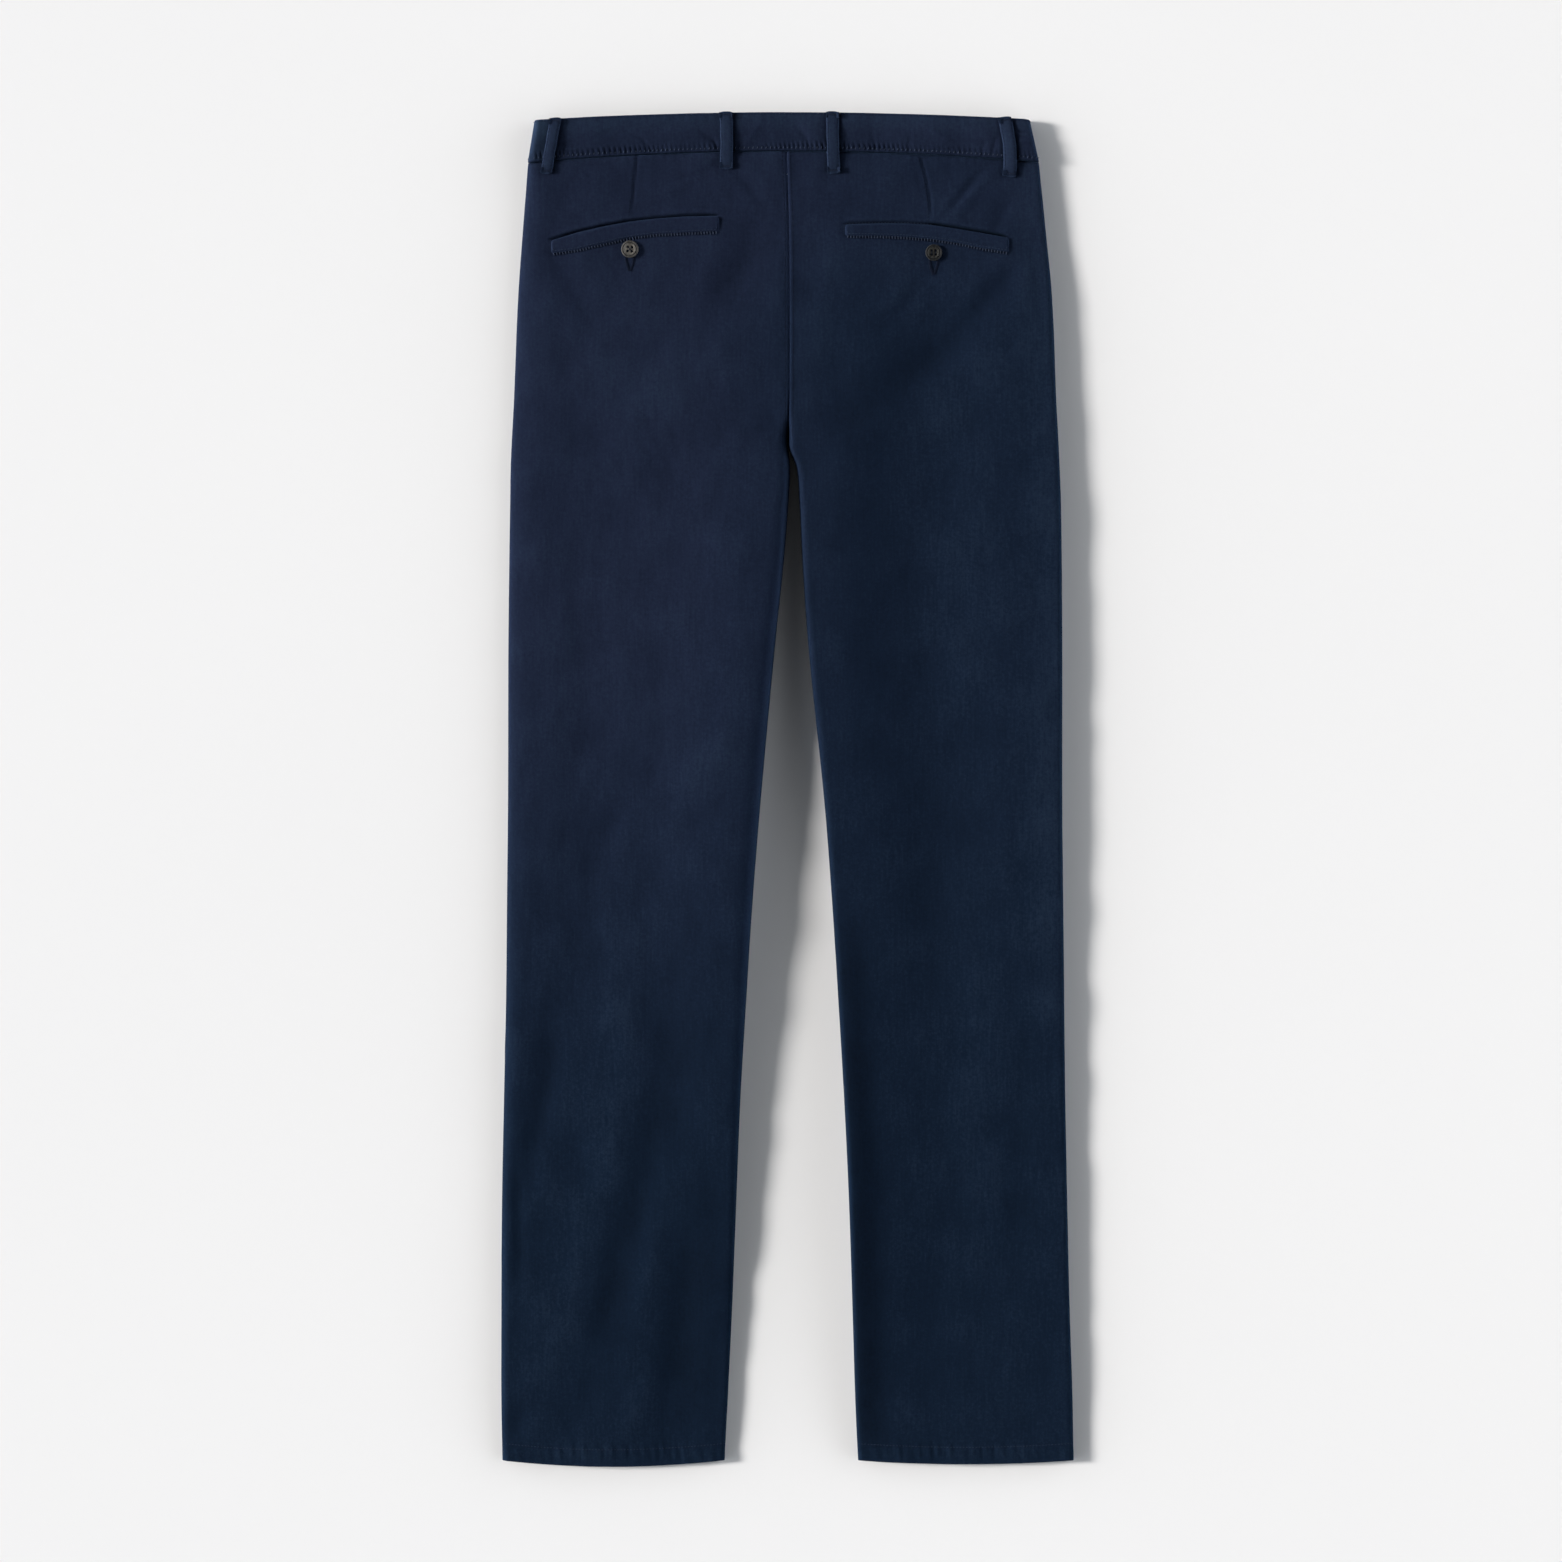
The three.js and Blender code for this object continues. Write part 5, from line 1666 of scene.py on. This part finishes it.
def stitch_tree():
    """Geometry nodes that lay small rounded stitches along every line of a mesh of edges."""
    tree, given, out = new_group(
        "stitch_row",
        "GeometryNodeTree",
        [
            ("Lines", "NodeSocketGeometry", None),
            ("Spacing", "NodeSocketFloat", 0.0032),
            ("Stitch length", "NodeSocketFloat", 0.0023),
            ("Thread width", "NodeSocketFloat", 0.0005),
            ("Turn", "NodeSocketFloat", 0.0),
            ("Unevenness", "NodeSocketFloat", 0.12),
            ("Seed", "NodeSocketInt", 3),
            ("Thread", "NodeSocketMaterial", None),
        ],
        [("Stitches", "NodeSocketGeometry")],
    )
    link = tree.links.new
    curve = add_node(tree, "GeometryNodeMeshToCurve")
    places = add_node(tree, "GeometryNodeCurveToPoints", mode="LENGTH")
    shape = add_node(tree, "GeometryNodeMeshUVSphere", {"Segments": 6, "Rings": 4, "Radius": 0.5})
    heading = add_node(tree, "FunctionNodeAlignRotationToVector", axis="X", pivot_axis="Z")
    jitter = add_node(tree, "FunctionNodeRandomValue", data_type="FLOAT")
    jitter.inputs[2].default_value = -1.0
    jitter.inputs[3].default_value = 1.0
    uneven = math_node(tree, "MULTIPLY", jitter.outputs[1], given["Unevenness"])
    turned = math_node(tree, "ADD", given["Turn"], uneven)
    by_angle = add_node(tree, "FunctionNodeAxisAngleToRotation", {"Axis": (0, 0, 1)})
    rotate = add_node(tree, "FunctionNodeRotateRotation", rotation_space="LOCAL")
    longer = math_node(tree, "ADD", uneven, 1.0)
    size = add_node(tree, "ShaderNodeCombineXYZ")
    instances = add_node(tree, "GeometryNodeInstanceOnPoints")
    smooth = add_node(tree, "GeometryNodeSetShadeSmooth")
    realize = add_node(tree, "GeometryNodeRealizeInstances")
    finish = add_node(tree, "GeometryNodeSetMaterial")
    link(given["Lines"], curve.inputs["Mesh"])
    link(curve.outputs["Curve"], places.inputs["Curve"])
    link(given["Spacing"], places.inputs["Length"])
    link(given["Seed"], jitter.inputs["Seed"])
    link(places.outputs["Tangent"], heading.inputs["Vector"])
    link(turned, by_angle.inputs["Angle"])
    link(heading.outputs["Rotation"], rotate.inputs["Rotation"])
    link(by_angle.outputs["Rotation"], rotate.inputs["Rotate By"])
    link(math_node(tree, "MULTIPLY", given["Stitch length"], longer), size.inputs["X"])
    link(given["Thread width"], size.inputs["Y"])
    link(given["Thread width"], size.inputs["Z"])
    link(places.outputs["Points"], instances.inputs["Points"])
    link(shape.outputs["Mesh"], instances.inputs["Instance"])
    link(rotate.outputs["Rotation"], instances.inputs["Rotation"])
    link(size.outputs["Vector"], instances.inputs["Scale"])
    link(instances.outputs["Instances"], realize.inputs["Geometry"])
    link(realize.outputs["Geometry"], smooth.inputs["Geometry"])
    link(smooth.outputs["Geometry"], finish.inputs["Geometry"])
    link(given["Thread"], finish.inputs["Material"])
    link(finish.outputs["Geometry"], out["Stitches"])
    return tree


def stitch_kind(spacing, length, width, turn, unevenness):
    return {
        "Spacing": spacing, "Stitch length": length, "Thread width": width, "Turn": turn,
        "Unevenness": unevenness,
    }


STITCH_TREE = stitch_tree()
TOPSTITCH = stitch_kind(3.3, 2.5, 0.62, 0.0, 0.1)
FINE_STITCH = stitch_kind(2.6, 1.9, 0.5, 0.0, 0.1)
CROSS_STITCH = stitch_kind(2.4, 3.0, 0.8, math.pi / 2, 0.15)
BAND_STITCH = stitch_kind(3.6, 2.3, 0.75, 1.1, 0.2)
TACK = stitch_kind(0.52, 1.3, 0.45, math.pi / 2, 0.1)
HOLE_STITCH = stitch_kind(0.6, 3.0, 0.7, math.pi / 2, 0.12)
BUTTON_THREAD = stitch_kind(0.4, 1.0, 0.42, 0.0, 0.05)
LENGTH_INPUTS = ("Spacing", "Stitch length", "Thread width")


def sew(name, lines, stitch, thread, seed):
    """One piece of thread for all these lines, each an array of points in millimetres."""
    points = np.concatenate(lines)
    edges, start = [], 0
    for line in lines:
        edges += [(start + k, start + k + 1) for k in range(len(line) - 1)]
        start += len(line)
    mesh = bpy.data.meshes.new(name + "_lines")
    mesh.from_pydata((points * MM).tolist(), edges, [])
    guide = add_object(name + "_lines", mesh)
    rows = guide.modifiers.new("stitches", "NODES")
    rows.node_group = STITCH_TREE
    values = dict(stitch, Seed=seed, Thread=thread)
    for item in STITCH_TREE.interface.items_tree:
        if item.in_out == "INPUT" and item.name in values:
            value = values[item.name]
            rows[item.identifier] = value * MM if item.name in LENGTH_INPUTS else value
    evaluated = guide.evaluated_get(bpy.context.evaluated_depsgraph_get())
    made = bpy.data.meshes.new_from_object(evaluated)
    made.name = name
    obj = add_object(name, made)
    bpy.data.objects.remove(guide)
    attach(obj, "root")
    print(f"{name}: {len(made.polygons)} faces")
    return obj


def laid_line(line, height_at, lift=0.1):
    """A line of places on a surface, with their heights."""
    return np.array([[x, y, height_at(x, y) + lift] for x, y in line])


def close_steps(line, size=1.6):
    """The same line with points at an even small step."""
    line = np.asarray(line, float)
    run = np.concatenate([[0], np.cumsum(np.hypot(*np.diff(line, axis=0).T))])
    even = np.linspace(0, run[-1], max(int(run[-1] / size), 2))
    return np.column_stack([np.interp(even, run, line[:, 0]), np.interp(even, run, line[:, 1])])


def leg_line_x(side, y, from_outer, from_inner):
    outer = float(leg_edge(side, "outer", y)) - MIRROR[side] * from_outer
    inner = float(leg_edge(side, "inner", y)) + MIRROR[side] * from_inner
    return np.linspace(outer, inner, 90)


def hem_level(side, x):
    across = leg_across(side, x, HEM_LINE)
    return HEM_LINE - HEM_BOW[side] * (1 - np.minimum(across**2, 1))


hem_rows = []
for side in SIDES:
    x = leg_line_x(side, HEM_LINE, 1.5, 1.5)
    hem_rows.append(laid_line(np.column_stack([x, hem_level(side, x)]), leg_height[side], 0.05))
    x = leg_line_x(side, HEM_LINE, 15.0, 14.0)
    hem_rows.append(np.column_stack([x, hem_level(side, x), np.full(len(x), 0.15)]))
sew("thread_hems", hem_rows, FINE_STITCH, NAVY_THREAD, 3)

seat_rows = []
y = np.arange(FORK + 8, waist_seam_y(0, 0) - 1.0, 2.0)
for side, away in (("left", -3.3), ("right", 3.1)):
    line = np.column_stack([seat_seam_x(y) + away, y])
    seat_rows.append(laid_line(line, leg_height[side], 0.02))
sew("thread_seat", seat_rows[:1], TOPSTITCH, DEEP_THREAD, 4)
sew("thread_seat_right", seat_rows[1:], FINE_STITCH, DEEP_THREAD, 5)

pocket_rows, tick_rows, dart_rows, hole_rows = [], [], [], []
for side in SIDES:
    outline = close_steps(welt_outline(side, 1.1))
    top = value_along(WELTS[side], "top", outline[:, 0])
    plain = outline[(outline[:, 1] > top) & (np.abs(outline[:, 0] - 80) < 38)]
    if len(plain):
        pocket_rows.append(laid_line(plain[np.argsort(plain[:, 0])], leg_height[side], 0.12))
    tick_x = np.linspace(WELTS[side][0]["x"] + 2.0, WELTS[side][-1]["x"] - 2.0, 80)
    ticks = np.column_stack([tick_x, value_along(WELTS[side], "bottom", tick_x) - 0.7])
    tick_rows.append(laid_line(ticks, leg_height[side], 0.55))
    inset = close_steps(welt_outline(side, -1.7))
    lower = inset[inset[:, 1] < value_along(WELTS[side], "bottom", inset[:, 0]) + 4.0]
    pocket_rows.append(laid_line(lower[np.argsort(lower[:, 0])], pocket_height[side], 0.0))
    dart_rows.append(laid_line(close_steps(dart_path(side) + [-2.2, 0]), leg_height[side], 0.0))
    spec = POCKET_BUTTONS[side]
    x, top, foot = spec["x"], spec["y"] + 2.0, spec["y"] - 17.5
    for sign in (-1.0, 1.0):
        side_of_v = ((1.0, top), (3.4, foot + 11.0), (2.7, foot + 6.5), (0.5, foot))
        edge = [[x + sign * away, level] for away, level in side_of_v]
        hole_rows.append(laid_line(close_steps(edge, 1.0), leg_height[side], 0.12))
sew("thread_pockets", pocket_rows, FINE_STITCH, NAVY_THREAD, 6)
sew("thread_welt_ticks", tick_rows, CROSS_STITCH, PALE_THREAD, 14)
sew("thread_darts", dart_rows, FINE_STITCH, DEEP_THREAD, 7)
sew("thread_buttonholes", hole_rows, HOLE_STITCH, DEEP_THREAD, 8)

band_rows = []
for share in (0.095, 0.95):
    x, z, angle = band_line(share)
    front = (1 + np.cos(angle)) / 2
    y = band_level_y(x, front, share)
    top_side = np.cos(angle) < -0.2
    back = [[px, py, band_height(px, py) + 0.02] for px, py in zip(x[top_side], y[top_side])]
    band_rows.append(np.array(back))
    for under in (x > BAND_MIDDLE_X, x < BAND_MIDDLE_X):
        chosen = under & (np.cos(angle) > 0.99)
        band_rows.append(np.column_stack([x[chosen], y[chosen], np.full(chosen.sum(), 0.2)]))
sew("thread_band", band_rows[:3], BAND_STITCH, PALE_THREAD, 9)
sew("thread_band_top", band_rows[3:], FINE_STITCH, DEEP_THREAD, 15)

loop_rows, tack_rows = [], []
for name, loop in BACK_LOOPS.items():
    outer, _ = back_loop_grid(name, back_height)
    for column in (2, -3):
        loop_rows.append(outer[14:-14, column] + [0, 0, 0.05])
    for row in (15, -16):
        tack_rows.append(outer[row, 2:-2] + [0, 0, 0.12])
sew("thread_loop_edges", loop_rows, FINE_STITCH, DEEP_THREAD, 10)
sew("thread_loop_tacks", tack_rows, TACK, LOOP_THREAD, 11)

fly_path = close_steps(fly_stitch_path())
fly_row = np.column_stack([fly_path, np.full(len(fly_path), 0.2)])
sew("thread_fly", [fly_row], TOPSTITCH, NAVY_THREAD, 12)

button_rows = []
for side in SIDES:
    x, y, seat = button_places[side]
    spec = POCKET_BUTTONS[side]
    spread = HOLE_SPREAD * spec["diameter"]
    angle = math.radians(spec["turn"])
    right = np.array([math.cos(angle), math.sin(angle), 0.0]) * spread
    up = np.array([-math.sin(angle), math.cos(angle), 0.0]) * spread
    # the left button is sewn on with a cross, the right one with two bars
    lines = [(-right - up, right + up), (-right + up, right - up)]
    if side == "right":
        lines = [(-right - up, -right + up), (right - up, right + up)]
    middle = np.array([x, y, seat + BUTTON_HEIGHT * 0.8])
    button_rows += [np.linspace(middle + start, middle + end, 5) for start, end in lines]
x, y, seat = waist_button_place
for sign in (-1, 1):
    reach = HOLE_SPREAD * WAIST_BUTTON["diameter"]
    middle = np.array([x + sign * reach, y, seat - BUTTON_HEIGHT * 0.8])
    button_rows.append(np.linspace(middle - [0, reach, 0], middle + [0, reach, 0], 5))
sew("thread_buttons", button_rows, BUTTON_THREAD, DEEP_THREAD, 13)


# Floor, light and camera

PHOTO_CENTRE = (-5.3, 5.7)
PHOTO_WIDTH = 1280.8
CAMERA_HEIGHT = 4000.0
FLOOR_BELOW = 0.2

bpy.ops.mesh.primitive_plane_add(size=8.0, location=(0, 0, -FLOOR_BELOW * MM))
floor = bpy.context.object
floor.name = "studio_floor"
floor.data.materials.append(pale_paper("pale_paper"))

FLOOR_LIGHT = 1.136
KEY_SHARE = 0.54
KEY_HEIGHT = math.radians(19)
KEY_TOWARDS = math.radians(-6)
KEY_COLOUR = (1.0, 0.965, 0.93)
SKY_COLOUR = (0.965, 1.0, 1.05)
# The room is a faint dome with two broad bright sides: the dome's share of their peak
DOME = 0.0015
SIDES_ON_FLOOR = 5 / 168
SEEN_ROOM = 0.9
KEY_WIDTH = math.radians(10)

world = bpy.data.worlds.new("soft_room")
world.use_nodes = True
room = world.node_tree
toward = add_node(
    room, "ShaderNodeSeparateXYZ", {
        "Vector": add_node(room, "ShaderNodeTexCoord").outputs["Generated"],
    },
)
low = math_node(room, "SUBTRACT", 1.0, math_node(room, "MAXIMUM", toward.outputs["Z"], 0.0))
low = math_node(room, "POWER", low, 4.0)
sides = math_node(room, "MULTIPLY", low, math_node(room, "POWER", toward.outputs["X"], 2.0))
SKY_LIGHT = FLOOR_LIGHT * (1 - KEY_SHARE) / (DOME + SIDES_ON_FLOOR)
glow = math_node(room, "MULTIPLY", math_node(room, "ADD", sides, DOME), SKY_LIGHT)
# what the camera sees past the floor is as pale as the floor
seen = add_node(room, "ShaderNodeLightPath").outputs["Is Camera Ray"]
unseen = math_node(room, "SUBTRACT", 1.0, seen)
glow = math_node(room, "MULTIPLY", glow, unseen)
glow = math_node(room, "ADD", glow, math_node(room, "MULTIPLY", seen, SEEN_ROOM))
room.links.new(glow, room.nodes["Background"].inputs["Strength"])
room.nodes["Background"].inputs["Color"].default_value = (*SKY_COLOUR, 1)
bpy.context.scene.world = world

key = bpy.data.lights.new("window_light", "SUN")
key.energy = FLOOR_LIGHT * KEY_SHARE * math.pi / math.sin(KEY_HEIGHT)
key.angle = KEY_WIDTH
key.color = KEY_COLOUR
key_object = bpy.data.objects.new("window_light", key)
key_ray = Vector((
    math.cos(KEY_HEIGHT) * math.cos(KEY_TOWARDS),
    math.cos(KEY_HEIGHT) * math.sin(KEY_TOWARDS),
    -math.sin(KEY_HEIGHT),
))
key_object.rotation_euler = key_ray.to_track_quat("-Z", "Y").to_euler()
bpy.context.scene.collection.objects.link(key_object)

camera = bpy.data.cameras.new("photo_camera")
camera.sensor_width = 36.0
camera.lens = 36.0 * CAMERA_HEIGHT / PHOTO_WIDTH
camera.clip_end = 20.0
camera_object = bpy.data.objects.new("photo_camera", camera)
camera_object.location = (PHOTO_CENTRE[0] * MM, PHOTO_CENTRE[1] * MM, CAMERA_HEIGHT * MM)
bpy.context.scene.collection.objects.link(camera_object)
bpy.context.scene.camera = camera_object
bpy.context.scene.view_settings.view_transform = "Standard"
